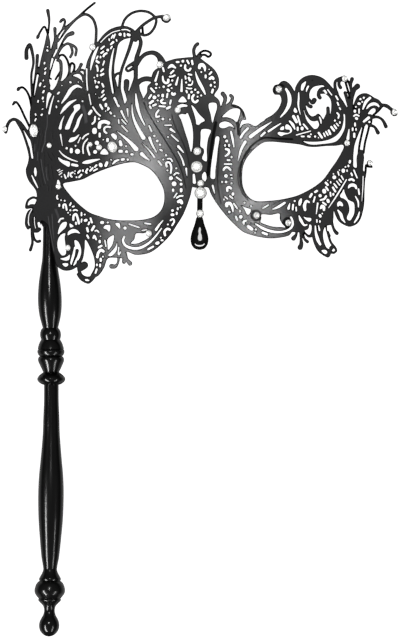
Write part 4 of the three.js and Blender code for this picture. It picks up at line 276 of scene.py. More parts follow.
STROKES = [
["tendrils at upper left", [
[[.45,.45,.85],-74.5,89,-73.8,97,-74.5,102],
[[.6,.45,.45],-79.7,88.4,-78.3,91.4,-76.2,94,-74.4,90],
[[.8,.5,.6],-70.9,92.8,-70.9,87.9,-72,82],
[[.6,.5,.5],-68.2,96.4,-66.7,97.7,-65.9,96.6,-66.9,93.1,-69,89.3,-71,85],
[[.5,.5,.65],-51,105.7,-54.6,102.9,-58.9,99.1,-63.4,95.2,-66.9,92.4,-71.1,86.4,-72,82],
[.9,-70.5,86.2,-70.6,83],[.6,-72.2,79,-69,78.7],
[.65,-69.4,86.8,-65.2,92.4,-59.9,98,-55.7,100,-52.2,98,-50.4,93.5,-50.3,89.3,-50.6,85],
[[1.1,.5,.5],-62.2,90.6,-64.6,89.6,-66.7,86.8,-69.5,81],
[.6,-69.9,79.9,-66.8,84.3,-64,85.4,-62.6,83.3,-62.2,80.8,-63.2,78.7],
[.6,-64.5,85.5,-61.7,84.4,-60.2,82.8,-60.6,79.6],
[.5,-70.5,78.6,-66.9,79.8,-65,77.7,-63.9,74.2,-63.8,71.4,-64.8,68.6,-67.6,65.7],
[[.9,.75,.5],-71.5,82,-70.8,78,-68.3,76.6,-67.8,73.1,-68,69.6,-68.9,66.4,-70.4,63.3,-72.7,61],
[.45,-68.2,71.5,-70.6,67.6]]],
["tendrils at left edge", [
[[1,.55,.5],-85.2,78.4,-85.1,82.6,-83.6,85,-82.2,80.8,-81.7,75.9,-82.7,70.3,-82.7,65.4,-82.2,57],
[0,-75.6,2,-75.2,-1.4,-74.5,-5,-73.8,-9,-73,-13.5,-72.2,-17.6,-71.2,-22,-70.2,-24.6,-70.8,-20,-71.2,-10,
 -71.6,-2],[.45,-79.1,73.5,-79.3,70.5],[.3,-71.2,77.6,-72.3,74,-73.2,71.3,-73.7,68.6],
[.38,-74,68.4,-72.8,67.8],
[[.8,.5,.5],-79.7,79.6,-79.9,75.9,-80.6,69.6,-81.3,65.4,-82.2,57],
[.5,-89.6,62.4,-87.6,63.8,-85.6,62.5,-83.8,59.1,-82.5,53],
[.5,-92,55.2,-90.5,56.4,-88.7,54.4,-86.2,49.2,-83.3,43.3],
[.75,-95.6,41.4,-94.8,44.8,-93.3,47.1,-91.3,47.8,-88.8,46.5,-86.6,43.9,-83.2,38.5],
[.58,-90.1,46.8,-87.4,42.1,-85.3,36.5,-83.9,31.6,-82.9,26],
[.55,-80.2,8.3,-81.8,8.7,-84.3,7.3,-85.2,4.9,-85.3,3.7],
[[.5,1,.6],-80.4,4.6,-82.6,4.4,-85,3.6],[[.4,.9,.9,.7],-82.8,2.4,-83.1,0,-83.1,-3,-82.7,-6],
[[.4,.7,.8],-81.5,3,-83.9,1.7,-85,-1.4,-85.1,-5,-84.3,-6.5],
[[.9,.5,.75],-82.2,-6,-82.4,-10.6,-82.2,-14.1,-83.2,-17.5],
[[.5,.5,.7],-82,-8.8,-81,-12.3,-79.7,-13.4,-78.5,-13.1],
[[.5,.5,.9],-82,-8.2,-79.7,-8.3,-78.7,-7.2]]],
["small curls over the cheek", [
[.5,-63.6,69.4,-63.4,73.8,-62.5,75.7,-61.3,74.9,-61.3,72.4,-62.6,70],
[[.55,.5,.8],-63.4,69.6,-59.9,71.7,-58.1,74.2,-57.8,75],
[.55,-60.3,71,-58.1,72.2,-56.3,71.9,-55.9,70,-56.2,66,-56.1,64],
[.55,-63.6,69.3,-60.6,70.7,-58.5,70.7,-57.1,69.3,-56.7,67.3]]],
["curls above the swan neck", [
[.6,-37.5,93.5,-36,97.3,-33.1,100.1,-29.6,101.4,-26.8,101.5,-23.7,100.7,-21.2,98.7,-20.3,97,-20.7,94.5,
 -21.9,92.1,-24,90,-26.5,89.4,-28.6,90.3,-32,91],
[.7,-31.5,90,-27.5,94,-24.4,96.3,-20.9,98.2,-17,98.9],
[.5,-27.2,93.5,-26.9,90],[.5,-29,92,-28.2,90.9,-27.2,90.4],
[[.8,.55],-17.4,98.3,-16.6,96.8,-15,96.1,-13.5,97.2],
[[.8,1.05,1],-33,90.5,-29.2,88.9,-28,86,-28.9,81.9,-30.2,77.7,-30.5,72.4,-30.6,67.9,-31.7,64.5,-33.4,
 60],
[[.9,.7,.65,.8],-32,88.5,-33.9,82.2,-36,76.6,-37.7,71.7,-38.4,67.1,-38.6,62.6,-37.7,58.4,-36.7,54],
[.6,-41.2,68.6,-40.1,70.1,-38.4,70.6],
[[.45,.45,.45,.5,.75,.85,.8],-39.6,86.2,-40.5,81.2,-41.7,74.2,-41.6,68.9,-40.8,65.4,-39.9,60.1,
 -38.6,55.5],
[[1,.7,.6,.6,.9],-31.2,75.6,-34.2,74,-35.3,72.5,-34.4,71.6,-31.2,73.4],[1.1,-31.2,88.2,-30.6,87.2],
[[1.4,1.3,.8,.9],-35.1,66.2,-35.1,65,-35.3,62.2,-34.2,58],
[[.8,.95,1,1.3,2.1],-29.7,75,-27.7,78.3,-25.4,80.1,-22,80.7,-19.5,79.5,-18,77.3,-17.1,74.5],
[1.2,-30.2,64.8,-28.2,66.8,-25.4,67.7,-22,67.2],[.6,-29.5,66,-29,62,-27.6,58.6]]],
["curls on the crown", [
[[.8,.75,.85],-.8,77,-1.65,81.7,-.8,84,.3,85],
[.7,.6,78.2,1.8,78.8],
[.5,-.5,78,1.8,80.8,3.8,81.6,5.8,81.2,7,80,6.4,78.9,5.4,78.6,4.1,79.5,.5,79.3],
[[1.1,.9,.75],12.85,60.2,13.9,58.7,14,57,13.4,55.2,12.4,52.5],
[.8,16.8,59.3,17.6,58.5,17.5,57.3,16.8,55.8,15.2,54.3,13.5,52.8]]],
["centre tongue and stone seats", [
[[1.6,1.7,1.3],-.2,43.2,-.1,38,.1,33],
[2.9,.2,31.3],
[1.1,.3,30,.7,26],
[3.4,0,23.6],
[.95,.7,21,1.5,15],
[2.1,1.8,15.5],
[3,1.8,10.7],
[1.3,1.5,10,1.4,1.2],[1.2,1.45,-.6,1.3,-2.6],
[1.9,1.5,.5],
[.9,-9.6,51.6,-6,50.8],
[2,-9.5,52]]],
["curls of the right wing", [
[[.55,.6,.75,1.2],56.2,57.4,57,56,58,55.8,58.5,57.1],
[[.8,.8,.9],54.7,58,55,55.5,55.8,54.3,56.8,53.9],
[[.6,.9,.9,.9],65,63,62,62.6,60.8,61,60.7,59.4,61.3,58.4],
[[.8,.9,1.4],65.3,53.2,65.4,50.8,64.6,47.5],
[[.6,.5],62.2,60.9,64,60.9,66,59.4],
[[.6,.7,.75],73.2,68.8,70.6,67.8,69.1,66.6,68.8,64.5,69.3,61.8],
[[.9,.7,.85],72.4,67.8,71,66.5,70.9,64.8,71.6,63.5],
[[.8,.5],73.9,60.9,74.6,58.5,75.3,55.7,76.2,51.5],
[.5,73.9,67,75.2,62.3,76.1,59.2,76.5,52],
[.5,74.6,68,76.1,65,77,60.9,76.9,52],
[[.95,.5,.55],77.4,67.8,76.8,65.5,77,62.5,77.1,59],
[[1.35,.6,.6],80.1,64.2,78.6,62.7,77.9,60.2,77.4,57.1,76.9,51.5],
[[.7,.9,.8,.7],92.2,55,94.9,54.4,96.8,53,98.9,51.4],[.5,98.3,49.9,99.3,50,99.9,50.6],
[.5,92.5,54.2,90.2,51.6,88.2,50],
[[.7,.6,.9],87.4,48.7,90.2,48.9,92.2,47.9,93.5,46.2,94.4,44.2],
[[.7,.6,.95],86,44.7,87.5,44.5,88.8,43.8,89.7,42.4,90.4,41.1],
[[.5,.5],86.4,46,85.2,41,83.9,36,83.2,31],
[.5,83.5,45.5,82.2,40,81,34,80.6,29],
[1.45,81.8,31,81.6,27,81.4,22,81,18],
[.5,87.2,24,85.4,24.2,84.5,24.8,84.2,22,83.8,19]]],
["tendrils at lower right", [
[[.6,.6,1.15],49.8,-7.5,49.4,-10,48.1,-11.8],
[[.7,.6,1.25],51.6,-7.5,51.9,-12.6,52,-14.7,51.4,-16.3],
[[.5,.5,.75],52.4,-7.5,53.7,-12.2,55.1,-13.5],
[.55,65.2,-4,65.1,-8,65.8,-11,66.9,-14,68.7,-16.2,69.4,-17.8,68.4,-18.9,66.4,-18.6],
[.6,66.6,-16.4,68.2,-16.2],
[[1,.8],66.4,-18.5,67.2,-16.2],
[[.6,.6,.9],67.2,-3.5,68,-6.5,69,-8.4,69.8,-9.2],
[[.8,.5],64.8,-4,65,-8,66.2,-10.5]]],
["tips of the tendrils", [
[.75,-79.5,88.9,-79.3,89.3],[.8,-89.3,62.8,-89,63.2],[.65,-91.4,56,-91.2,56.3],
[.7,-67.8,96.7,-67.6,97.1],
[.72,-71,92.7,-71,93.1],[.62,-57.7,74.8,-57.5,75]]],
["drops at lower left", [
[[1.85,1.2],-56.2,-25.2,-57.6,-26.8],
[.8,-59.2,-23.5,-58.7,-28.1,-57.6,-30.4,-55.2,-31.6,-52.5,-31.5],
[.6,-59.4,-29.7,-57.7,-32.1,-54.2,-33.8,-52.9,-33,-51.1,-30.9],
[[.85,.5,.35],-59.8,-17.9,-60.3,-20.3,-61.5,-23.3,-62.2,-25.2],
[[.6,.7,1.1],-35.5,-19.5,-34.9,-22.3,-33.4,-24.3],
[[.6,.9],-36.6,-19.5,-36.4,-23.6],
[[.6,.5,1.2],-39,-20.5,-39.4,-23.9,-40.8,-25.8,-42.5,-25.7]]],
]
FINE = [
["crown", [
[.55,-10.1,76,-9.2,76],[.75,-7.05,76.4],[.5,-4.9,76.7,-4.1,75.3],[.55,-2.5,76.6,-2.2,74.9],[.6,-8,74.2],
[.55,-5.8,74.4,-5.95,72.85,-5.2,71.9,-4,71.75,-3.2,72.7],[[.4,.9,.4],-14.3,73.1,-12.6,74.2,-10.7,73.1],
[.5,-13.1,70.3,-11.7,71.7],[.5,-13.6,68.7,-12.3,68.8,-11.1,69.4],[.5,-17,73.1,-16.5,71.4],
[[.4,.55,.6,.6,.7],-17.1,68.9,-16.7,66.5,-15.4,65.5,-14.4,66,-14.3,67.1],
[.6,-12.3,66.8],[[.35,.6],-9.4,68.4,-10.4,64.8],[.5,-14.3,64.1,-13.1,64.8],[.5,-12.6,63],
[[.3,.65],-7.55,67.4,-7.7,61.6],
[.75,-14.5,62.1,-14.1,61.7],
[0,-12.4,61.3,-11.9,60.6,-10.9,60.9,-10.4,60.4,-10.9,59.4,-12,59.1,-12.9,59.8,-12.9,60.8],
[.5,-14.7,60.2,-15,58.4],[.5,-13,56.9,-13.4,55.2],[.45,-16.5,55.6,-15.7,55.6],
[.65,-14.9,52.9,-13.5,53.6],
[.45,-5.8,68.9,-5.6,67.6],[.5,-4.2,69.9,-2.8,69.6],[.6,-4.1,68.1,-3.5,66.8],[.55,-5.4,65.8],
[[.3,.5],-2.2,66.6,-2.3,65.4,-3.1,64.5,-4.2,64.6],[.4,-5.2,63.1,-3.9,62.75,-2.65,62.8],[.6,-.9,62.2],
[.5,-5.3,61.7,-5,60.8],
[.7,-2.7,61],[.7,.5,60.85],[.55,-4,59.7,-4.1,57.9],
[.6,-1.65,59.5,-2.4,58.2,-1.9,56.5,-.8,55.9,.35,56.8],[.5,.3,58.7],
[.55,2.1,59.3],[[.2,.6,.85,.75,.4],-.8,71.3,-.2,69,1,66,2.7,62.9,4.1,60],
[0,-9.3,56.2,-8.5,57.8,-7.1,58.9,-5.7,57.6,-5.1,56.2],[[.8,.8,.5],-9.3,53.6,-7.4,54.3,-5.2,54.2],
[[.75,.9,.9,.7,.4],1.2,73.1,1.5,74.3,2.65,74.6,3.8,73.4,3.95,71.6],[.5,2.15,71],[.4,6.05,72.3],
[.5,6.2,69.9,7.2,71],
[.55,4.3,69.3,4.3,68.3],[.7,6.4,67.7,7.5,68.4,8.1,67.7],[.6,8.75,65.8],[.6,6.9,64.6,6.9,64.2],
[.5,8.9,63.7],
[.6,7.9,62.2,7.5,60.8],[.35,-16,44.5,-12.8,44.5],[.7,-17,47.6],[.5,-13.5,47.4],[.45,-19.5,46.5],
[.5,-19.1,52,-20.3,50.2,-20.2,48.6,-18.8,49],[[.3,.6],-19.2,71.4,-20.7,66.7],[.7,-20.2,65],
[.6,-20.4,63.1],[.4,-18.7,63.3],[.65,-16.6,63.7],[.55,-22.9,62.9,-21.3,61.1],[.5,-22.8,59.6,-23.9,58],
[1,-21.2,58.4],
[.6,-19.2,59.3],[.7,-17.1,59.6,-17.1,59],[.65,-23.5,55.5,-22,56.6],[.55,-19.6,56.9],
[.55,-21.9,54.3,-20.5,54.9],
[.5,-23.5,54,-23,53],[.55,-17.1,57.4,-18,56.5,-17.3,55.6,-15.8,55.5],[.5,-18.7,54,-16,53.8]]],
["swan neck", [
[.45,-44.2,53,-44.5,52.2],[.5,-43.2,51,-42.8,50.4],[.45,-41.2,49.3,-41,49.1],[.3,-45.5,51.8,-45.6,51.4],
[.25,-50.9,66.6,-50.7,65.4],[.22,-50.6,60.4,-50.5,59.9],[.22,-48.9,58.7,-48.8,58],
[.4,-43.8,87.6,-43.7,86.9],[.4,-42.7,88,-41.9,89.5],[.4,-41.5,88.1,-40.8,90],[.4,-40.2,87.3,-40,86.6],
[.85,-38.3,89.9],
[.5,-36.2,90.3,-36.1,89],[.7,-34.4,89.8,-33.7,89.5],[[.65,.45],-41.8,86,-43,84.9],
[.45,-42.4,83.8,-43,82.9],[.75,-44.5,82.1],
[.45,-46.3,84,-47.8,82.7],[.5,-46.7,81.4,-47.8,80.6],[.55,-45.1,80.5,-46.2,79.9,-46.6,79],
[.45,-49.5,79,-50.1,77.8],
[.45,-48.1,78.9,-48.1,78.3],[.6,-50.1,76.6,-49,75.9],[.4,-46.2,76.6,-46.9,74.6],
[.5,-50.1,74.4,-49.6,73.2,-49.5,71.7],
[.5,-47.9,71.5,-46.8,72.6],[.6,-47.9,69.6,-46.7,70.2],[.45,-49.7,69.8,-49.7,69],[.65,-49,66],
[.45,-51.2,68.4],
[.45,-50.9,66.9,-50.5,66.4],[.5,-47.3,65.3,-46.6,63.8],[.8,-49.9,63.7],[.5,-47.3,60.9,-46.6,61.9],
[.4,-47.8,58.5,-46.3,60],
[.6,-46.6,57.2,-45.7,58],[.7,-45.4,55.1,-45.4,54.3],[.55,-48.3,54.8,-47.2,52.8],
[.5,-44.3,53.4,-43.9,52.8],
[.35,-37.5,44.4,-34.6,41.4],[.35,-37.5,47.4,-35.4,45.1],[.35,-39.1,47.4,-38.9,45.5],
[.35,-34.4,72.8,-32.8,73.6],[.35,-28,92,-27.9,91]]],
["plumes at left", [
[[1.15,.9,.5,.15],-72.9,90,-72.6,87.2,-72.8,84.8,-73,82.8],
[[.2,.35,.4],-66.2,92.4,-67.6,90.5,-68.8,88.4],
[[.35,.4,.35],-70.2,82.3,-70.8,80.6,-71.6,79],[[.3,.25,.14],-72.2,77.2,-72.8,75.2,-73.4,72.6],
[.4,-74.6,83.9],[.5,-74.8,82.2,-74.6,81.9],[.45,-76.1,76,-76.2,75.5],[.4,-75.4,73.3,-76,72.6],
[.45,-75.7,71.2,-76,70.3],
[.3,-76.6,67.4,-76.9,66.8],[.5,-78.1,65.7,-78.5,64.5],[.35,-75.9,64.2,-76.4,63.9],
[.5,-76.4,61.9,-76.9,61.1],
[.5,-76.9,58.6,-77.1,58],[.42,-76.7,56.6],[.4,-79.3,57.1,-79.4,56.3],[.3,-80.2,55.4],
[.3,-76.9,53,-77.4,52.6],
[.4,-80.7,50.4,-80.5,49.8],[.5,-77.4,50.1,-77.7,49.8],[.25,-79.3,48.9],[.4,-80.4,48,-80.9,47],
[.45,-68.8,61.1,-69.5,60.4],[.5,-69.2,56.7],[.4,-70.2,54.2,-70.1,53.5],[.5,-63.3,66.2,-63,66],
[.35,-59.2,66.2],
[.35,-67.4,64.5],[.3,-66,64.9],[.5,-57.1,56.6],[.35,-70.4,77.6,-71.5,74.9]]],
["left cheek", [
[.75,-38.3,36.4,-37.8,34.8],
[.3,-58.1,38.6,-59.4,35.8],[.4,-54.1,40.4,-56,39.3,-57.1,37.9],
[.4,-54.6,37.8,-56.4,35.5,-56.9,32.7,-56.7,30.6],
[.5,-53.9,35.8,-54.6,33.4,-53.6,29.9],[.65,-65,33.2],[.8,-62.7,32.6,-62.7,31.4],[.5,-60.6,34.4],
[1.3,-59.6,31.6],
[1.1,-49.9,35.8],[1,-50.8,31.3],[0,-46.2,33,-44.1,30.2,-48.3,30.4],[.75,-52.8,51.7,-53.7,50.4],
[.5,-50.8,48.8,-51.1,46.4,-52.2,45.3],[.6,-48.9,47.8],[.9,-48.7,43.6,-48.3,45.7,-45.9,46.4,-44.1,45.7],
[.5,-45.1,40.7,-46.1,41.4,-46.1,43.2,-44.7,43.9,-43.3,43.6],[1.2,-51.1,42.2,-51.1,41.4],
[.6,-48.5,40.4,-48.5,39],
[.7,-44.6,37.6,-44.6,36.8],[.4,-46.7,37.4],[.4,-23.9,44.3,-22.6,41.4],[.4,-19.3,26.7,-17.7,24.6],
[.5,-35.3,34.1],
[.75,-35.1,31.4],[.6,-32.7,30,-32.1,30],[.8,-38.5,31.6,-37.7,31.6],[.6,-38.2,34.8],[.6,-21.2,39.2],
[.7,-19.8,36.7],
[.6,-18.4,34.8],[.45,-18.4,32.4,-17.4,31.8],[.6,-15.4,29.5],[.5,-16.8,27.4]]],
["left eyelid", [
[.3,-69.7,22,-68.4,22.7],[.25,-69,21.2,-67,22.2],[.3,-68.8,19.9,-67.4,21],[.42,-67.6,19],
[[.35,.5],-66.2,20.1,-65.5,18.3],
[.4,-64,21.1,-64.4,19],[.45,-61.9,21.1,-62.9,20.7,-63.1,19.5,-62.4,18.9],[.42,-60.8,21.8],
[.42,-61,20.5],[.5,-60.1,18.7],
[.5,-58.3,22,-59.3,20.9],[.5,-57.6,20,-58.8,18.7],[.5,-56.9,22.2,-56.9,21.8],
[.5,-54.6,22.8,-55.4,21.3,-55,20.8],
[.4,-53.2,23.8],[.5,-52,23.3,-53.3,21.9],[.5,-50.1,24.7,-50.9,23.8],[.45,-49.8,22.8,-51.5,21.9],
[.95,-48.1,25,-47.9,24.6],
[.75,-44.9,25.9,-45.5,24.5],[.32,-43,27.5,-42.6,27.2],[[.4,.62,.3],-39,27.3,-40.6,26.7,-42.1,25.2],
[.65,-37.4,27.4,-36.6,27.6],
[.6,-34.5,27.4],[[.5,.9,.7],-69.3,17,-69.1,15.6,-69,14]]],
["left of the nose", [
[.4,-14.7,27.8,-13.2,27.8,-12.3,26.4],[.5,-15.1,23.9,-15.3,25.7,-13.9,26,-12.8,23.9,-13.1,20.7],
[.5,-14.7,22],[.5,-10.3,23],
[.4,-11.4,19.7,-10.3,20.7,-9.1,20.4],[1,-13,18.1],[.4,-10.2,18.6,-7.9,16.9],[1.2,-11.4,15.3],
[.75,-7.9,15.1],
[.6,-11.9,12.4,-11.9,11.8],[.7,-7.9,12.5,-7.9,11.7],[.35,-10,10.6,-11.4,8.5],[.5,-14.4,38.6],
[[.7,.3],-9.3,33.9,-6.7,30.9],
[.4,-26,-4.3,-23.1,-4.7],[.3,-27.4,-7.9,-25,-7.5],[.5,-24.3,-17.3,-21.8,-15.9],
[.8,-20,-14.3,-19.4,-14.1],
[.5,-17.7,-12.8,-17.1,-12.8],[.5,-18,-11.5],[.6,-15.9,-10.3,-16.2,-8.6,-14.8,-7.1,-13.6,-7.5],
[.5,-14.5,-4.9],
[.45,-13.2,-2.9,-12,-2.2,-11.3,-3.3,-12.4,-5.4],[.7,-12.5,-.1,-11.9,-.1],[.5,-10.1,1,-10.1,.2],
[.7,-12.2,2],
[.5,-9.6,3.2,-9.6,2.6],[.5,-8.2,3.6],[.8,-9.2,6.4,-8.2,6.9,-7.6,5.8],
[.45,-10.1,8.3,-8.5,9.2,-7.1,9.3]]],
["lower left", [
[.6,-48.5,-13.1,-48.5,-13.7],[.7,-49.7,-21.1,-49.2,-19,-47.8,-17.6,-46.7,-18.3],[.5,-46.9,-20.9],
[.6,-48,-22,-48,-23],
[.5,-49.9,-24.8,-49.9,-25.2],[.5,-48.3,-24.8,-48.3,-25.8],[.5,-50.6,-29,-50,-27.2],
[.8,-47.5,-3.9,-47.1,-3.9],[.5,-44.5,-3.9],
[.8,-35.9,-6.7],[.45,-69.7,9.6,-70,8.6,-69.5,7.9],[.45,-67.8,7.3],[.5,-66,7],[.5,-68.7,5.1,-68.7,4.3],
[.5,-66.7,3.5,-66.7,4.9,-65.7,5.2,-65,2.4],[.45,-63.4,4.7,-62.9,5.9],[.45,-62,4,-61.4,4.2],
[.55,-63.2,2.2],[.45,-64.3,1],
[.4,-63.2,0],[.4,-61.7,2.1,-60.7,2.5,-59.7,2.1],
[.6,-61.7,-2.5,-61.5,-.4,-60.4,.3,-59.4,-2.1,-58.9,-4.3],
[[.35,.55,.6,.6,.4],-61,-16.2,-61.2,-18.2,-61.7,-20.2,-62.3,-22.2,-62.9,-24.1],
[.5,-54.8,-10.3,-54.1,-11.6],
[.45,-57.6,1,-57.6,-.4],[.5,-56,.1],[.4,-57.5,-2.2,-57.7,-3.6],[.5,-60.4,-3.9,-60.3,-4.7],
[.7,-55.8,-2.9,-55.2,-2.7],
[.5,-54.1,-4.8,-53.7,-3.8],[.5,-53.1,-1.8,-52.4,-3.9],[.62,-51.3,-5.8,-52.4,-7.7],
[.6,-54.8,-6.7,-54.4,-8.3],
[.4,-50.8,-8.1,-50,-7.8,-49,-8.7],[.4,-54.3,-10.9],[.5,-51.7,-11.6,-51.2,-10.5,-50.3,-12.3],
[.4,-48.1,-10.7],
[.35,-45.9,-12.8,-45.4,-15.8],[.55,-49,-16.3,-47.6,-15.5],[.25,-82.5,2.8,-83.9,0,-84.3,-3.9],
[.35,-38.1,-18.6,-38.9,-20],
[.5,-55.4,-32.5,-54.6,-32.6]]],
["band of the right wing", [
[.35,65.2,62.4,67.2,59.8],[.55,63.7,61.9,64.4,60.8],[.45,69.3,59.2,70.3,57.5],[.45,70.1,56,70.6,54.7],
[.4,71.1,53.4,71.6,52.6],
[.45,69.9,50.8,70.8,49.8,70.5,48.3],[.6,68.8,47],[.45,71.3,46.3,71.3,45.8],[.4,69.6,45.6,70.6,44.4],
[.5,68.5,44.6,69.5,43.1],
[.6,67,43.8,68.4,42],[.6,65.7,42,66.5,40.3],[.45,64.3,41.4,65.3,39.7],[.45,63.2,40.6,63.9,39.1],
[.6,60.7,40.8,62.3,38.5],
[.4,60.6,38.4],[.6,58.9,39],[.55,55.4,39.1,56.2,38.9],[.5,56.8,40.1],[.45,52.1,39,53.3,39],
[.55,50.2,43.4,50.2,42.2],
[.8,52.4,43.2,52.4,42.8]]],
["shell", [
[.6,81.6,57.8],[.6,83.3,58.5],[.5,82.5,56.4],[.7,80.7,55.5,81.1,55.5],[.5,79.3,53.9],
[.4,80.9,52.8,80.9,50.8],
[.7,78.8,51.9,78.8,51.6],[.45,78.3,49.3,79.4,50,80.8,49.4],[.7,79.5,48.2,79.8,48],
[.5,78.9,45.7,78.9,44.5],
[.5,77.7,43.2,77.7,42.2],[.4,79.4,43,79.4,42.3],[.6,78.5,40.5,78.5,38.9],[.6,86.1,46.4]]],
["right of the nose", [
[.7,13.8,38.9,13.8,38.6],[.75,14.8,36.6],[.5,14,34.6,14,34.2],[.55,16,34.6,16,34.2],
[[.6,.6,.4],14.4,32.6,15.6,32.3,16,30.9,15.1,29.7,14.1,29.1],[.45,17.2,28.8,17.2,28.4],
[.45,15.2,27.1,16.2,27.1],
[.4,13.7,25.1,17.2,25.1],[.5,13.2,22.2,14.1,23.4,15.5,23.4,16.7,22.2],[.9,14.4,19.2],
[.4,16.7,19.7,17.3,19.7],[.5,17.3,18.1],
[.5,12.5,16.2],[.65,14.5,16.2],[.5,17.2,15.6],[.6,15.1,11.8,15.1,13.2,15.9,13.7,16.9,13],
[.7,17.9,10.4,17.9,10],
[.4,16.4,9.2,17.8,8],[.35,13.9,8.9,15.2,7.8],[.4,13.4,7.6,13.4,7.3],
[[.8,.8,.6,.4],14.8,4.4,14.8,5.3,16.2,5.6,17.4,4.2,17.9,1.6],[.65,16.1,1.3],[.4,18.3,5.5,20,3.1],
[.4,21.4,2,21.4,1.4],
[.9,21.8,-1.1],[.45,19.3,-1,20,-2.7],[.5,24.5,-3,23.2,-3.5,23.3,-4.6],[.8,25.6,-6,27.3,-7.2],
[.55,29.3,-7.4],[.45,29,-9],
[.6,32.7,-9,34.8,-9.8],[.55,23.7,5.9],[.5,26.9,4.3]]],
["right lower cheek", [
[[.7,.3],45.6,3.1,46.2,5.5],[.5,47.7,2.6,47.9,5],[.4,49.4,3.7,49.5,1.9],[.55,48.7,6.8],
[[.5,.9,.6],51.9,7.7,51.5,6.6,51.1,5],
[.6,56.4,8.9,57.2,10.3],[.6,58.9,11.3,59.8,11.9],[.45,58.1,6.4,58.8,8.9],[.85,61.4,9.5],
[1,63.4,12,63.5,11.5],
[[.45,.6],61.6,7.3,63.5,7.9,64.4,9.2],[.8,65.3,7.2,65.5,6.6],[.5,62.8,6.1,64.3,5],
[[.5,.8,.8,.6],61.7,3.2,62.4,4.3,63.2,3.8,63.3,2.4],[.45,62.5,.6],[.7,61.3,-.3,61.5,-.8],
[.4,59.8,-2.5,59.8,-3.7],
[.45,61.3,-3.1,61.3,-3.6],[.6,64.2,16,65.2,14.9],[.4,65.2,17.1],[.4,66.7,16.5,66.7,15.9],
[.5,64.3,13.8,65.4,12.2],
[.55,67.8,13.6,69,11.6],[.45,68.4,15.4,69.8,13.6],[.45,66.5,11.1,66.7,9.3],[.55,68,10.4,68,10],
[.5,71.1,15],
[.35,69.7,16.8,70.6,15.5],[.45,71,17.6,72,16.3],[.4,72,19.4,73,17.6],[1,68.5,18.7],[.45,68.1,20.4],
[.4,70.3,21.5,70.8,19.8],
[.9,73,22.2,73,21.8],[.4,71.1,22.3],[.5,74.1,23.9],[.5,75.5,24.6,75.6,24.2],[.6,76.4,26.9,76.2,26.1],
[.4,74.9,22.3,74.9,21.7],
[.4,78.3,22.3,79.9,18.5],[.5,77,20.7,77.4,19.7],[.45,80.6,12.8,81,10.3],[.4,65.3,-5.6,65.3,-7.7],
[.55,68.3,-17.6,67.9,-17.8]]],
]

# Lines pressed into the sheet, and beads where the depth is below 0. Each row is depth, half width, x, y.
# The grooves are darkened with painted shade, and the beads are lightened with a painted highlight.
RELIEF = [
[-.12,.26,-74.3,-1,-73.7,-5.6,-72.9,-10.2,-72.1,-14.6,-71.4,-18.4],
[-.12,.26,-72.4,-.4,-72,-6.6,-71.3,-13.6],
[.3,.55,38.3,5.5,38.5,5.5],[.3,.5,26.5,-4.2,26.7,-4.2],[.3,.5,57.4,67,57.6,67],
[.22,.36,-26.3,55.6,-24.6,51.4,-20.7,44.7,-16.8,38.6,-13.5,33.1,-10.2,27.5,-7.4,20.8,-5.7,13.6],
[.2,.32,-12.4,49.7,-11.3,45.3,-9.1,40.3,-6.3,34.2,-4.6,28.6,-3.8,23.6],
[.2,.32,11.2,36.4,10.9,31.9,10.7,26.4,10.4,20.8,10.4,15.3,11.2,9.7,12.1,5.8],
[.3,.4,26.5,32.5,24.3,29.2,21.5,24.7,20.4,19.7,20.9,14.7,22.6,10.8,25.4,7.5],
[-.2,.32,-74.8,50,-74.9,44.4,-75.6,41.3,-75.9,38.1,-76.2,35.6,-77.1,33.1,-77.4,31.6],
[-.2,.32,-77.9,27.7,-77.4,23.8,-76.7,20,-75.7,15.6],
[.14,.3,-78.5,31.6,-78.7,28,-78.4,24],[.12,.26,-77.6,36,-78.2,33.6,-78.3,32.6],
[.12,.26,-76.3,30.6,-76.5,27.6,-76.1,23.6],
[.14,.3,-74.7,31.4,-74,29.2,-72.7,27.4],[.12,.26,-74.5,24.6,-74.3,21.4,-73.6,17.4],
[.12,.26,-72.8,24.4,-72.3,21.4,-71.9,18],
[.12,.26,-72.6,31,-71.2,28.8],[.12,.26,-78,21.8,-77.5,18,-76.8,14.8],[.12,.26,-74.4,14.6,-74.2,12],
[.12,.26,-72.4,14.8,-72.8,12.2],
[.12,.26,-77.3,42,-76.9,39.4,-77.3,37.2],[.12,.26,-78.8,39.6,-79.2,36.6,-79.7,33.6],
[.12,.26,-72.4,41,-72,37.6],
[.12,.26,-81.4,37.8,-81.9,35.2,-81.7,32.4],[.12,.26,-80.6,31.4,-80.4,28.4],
[.12,.26,-79.6,19.6,-78.9,16.6,-77.9,13.8],
[-.12,.24,-75.4,23.4,-75.3,20.8,-74.8,17.8],[-.12,.24,-81,35.2,-81.1,31.8],
[-.12,.24,-79.7,31,-79.7,27.4],
]
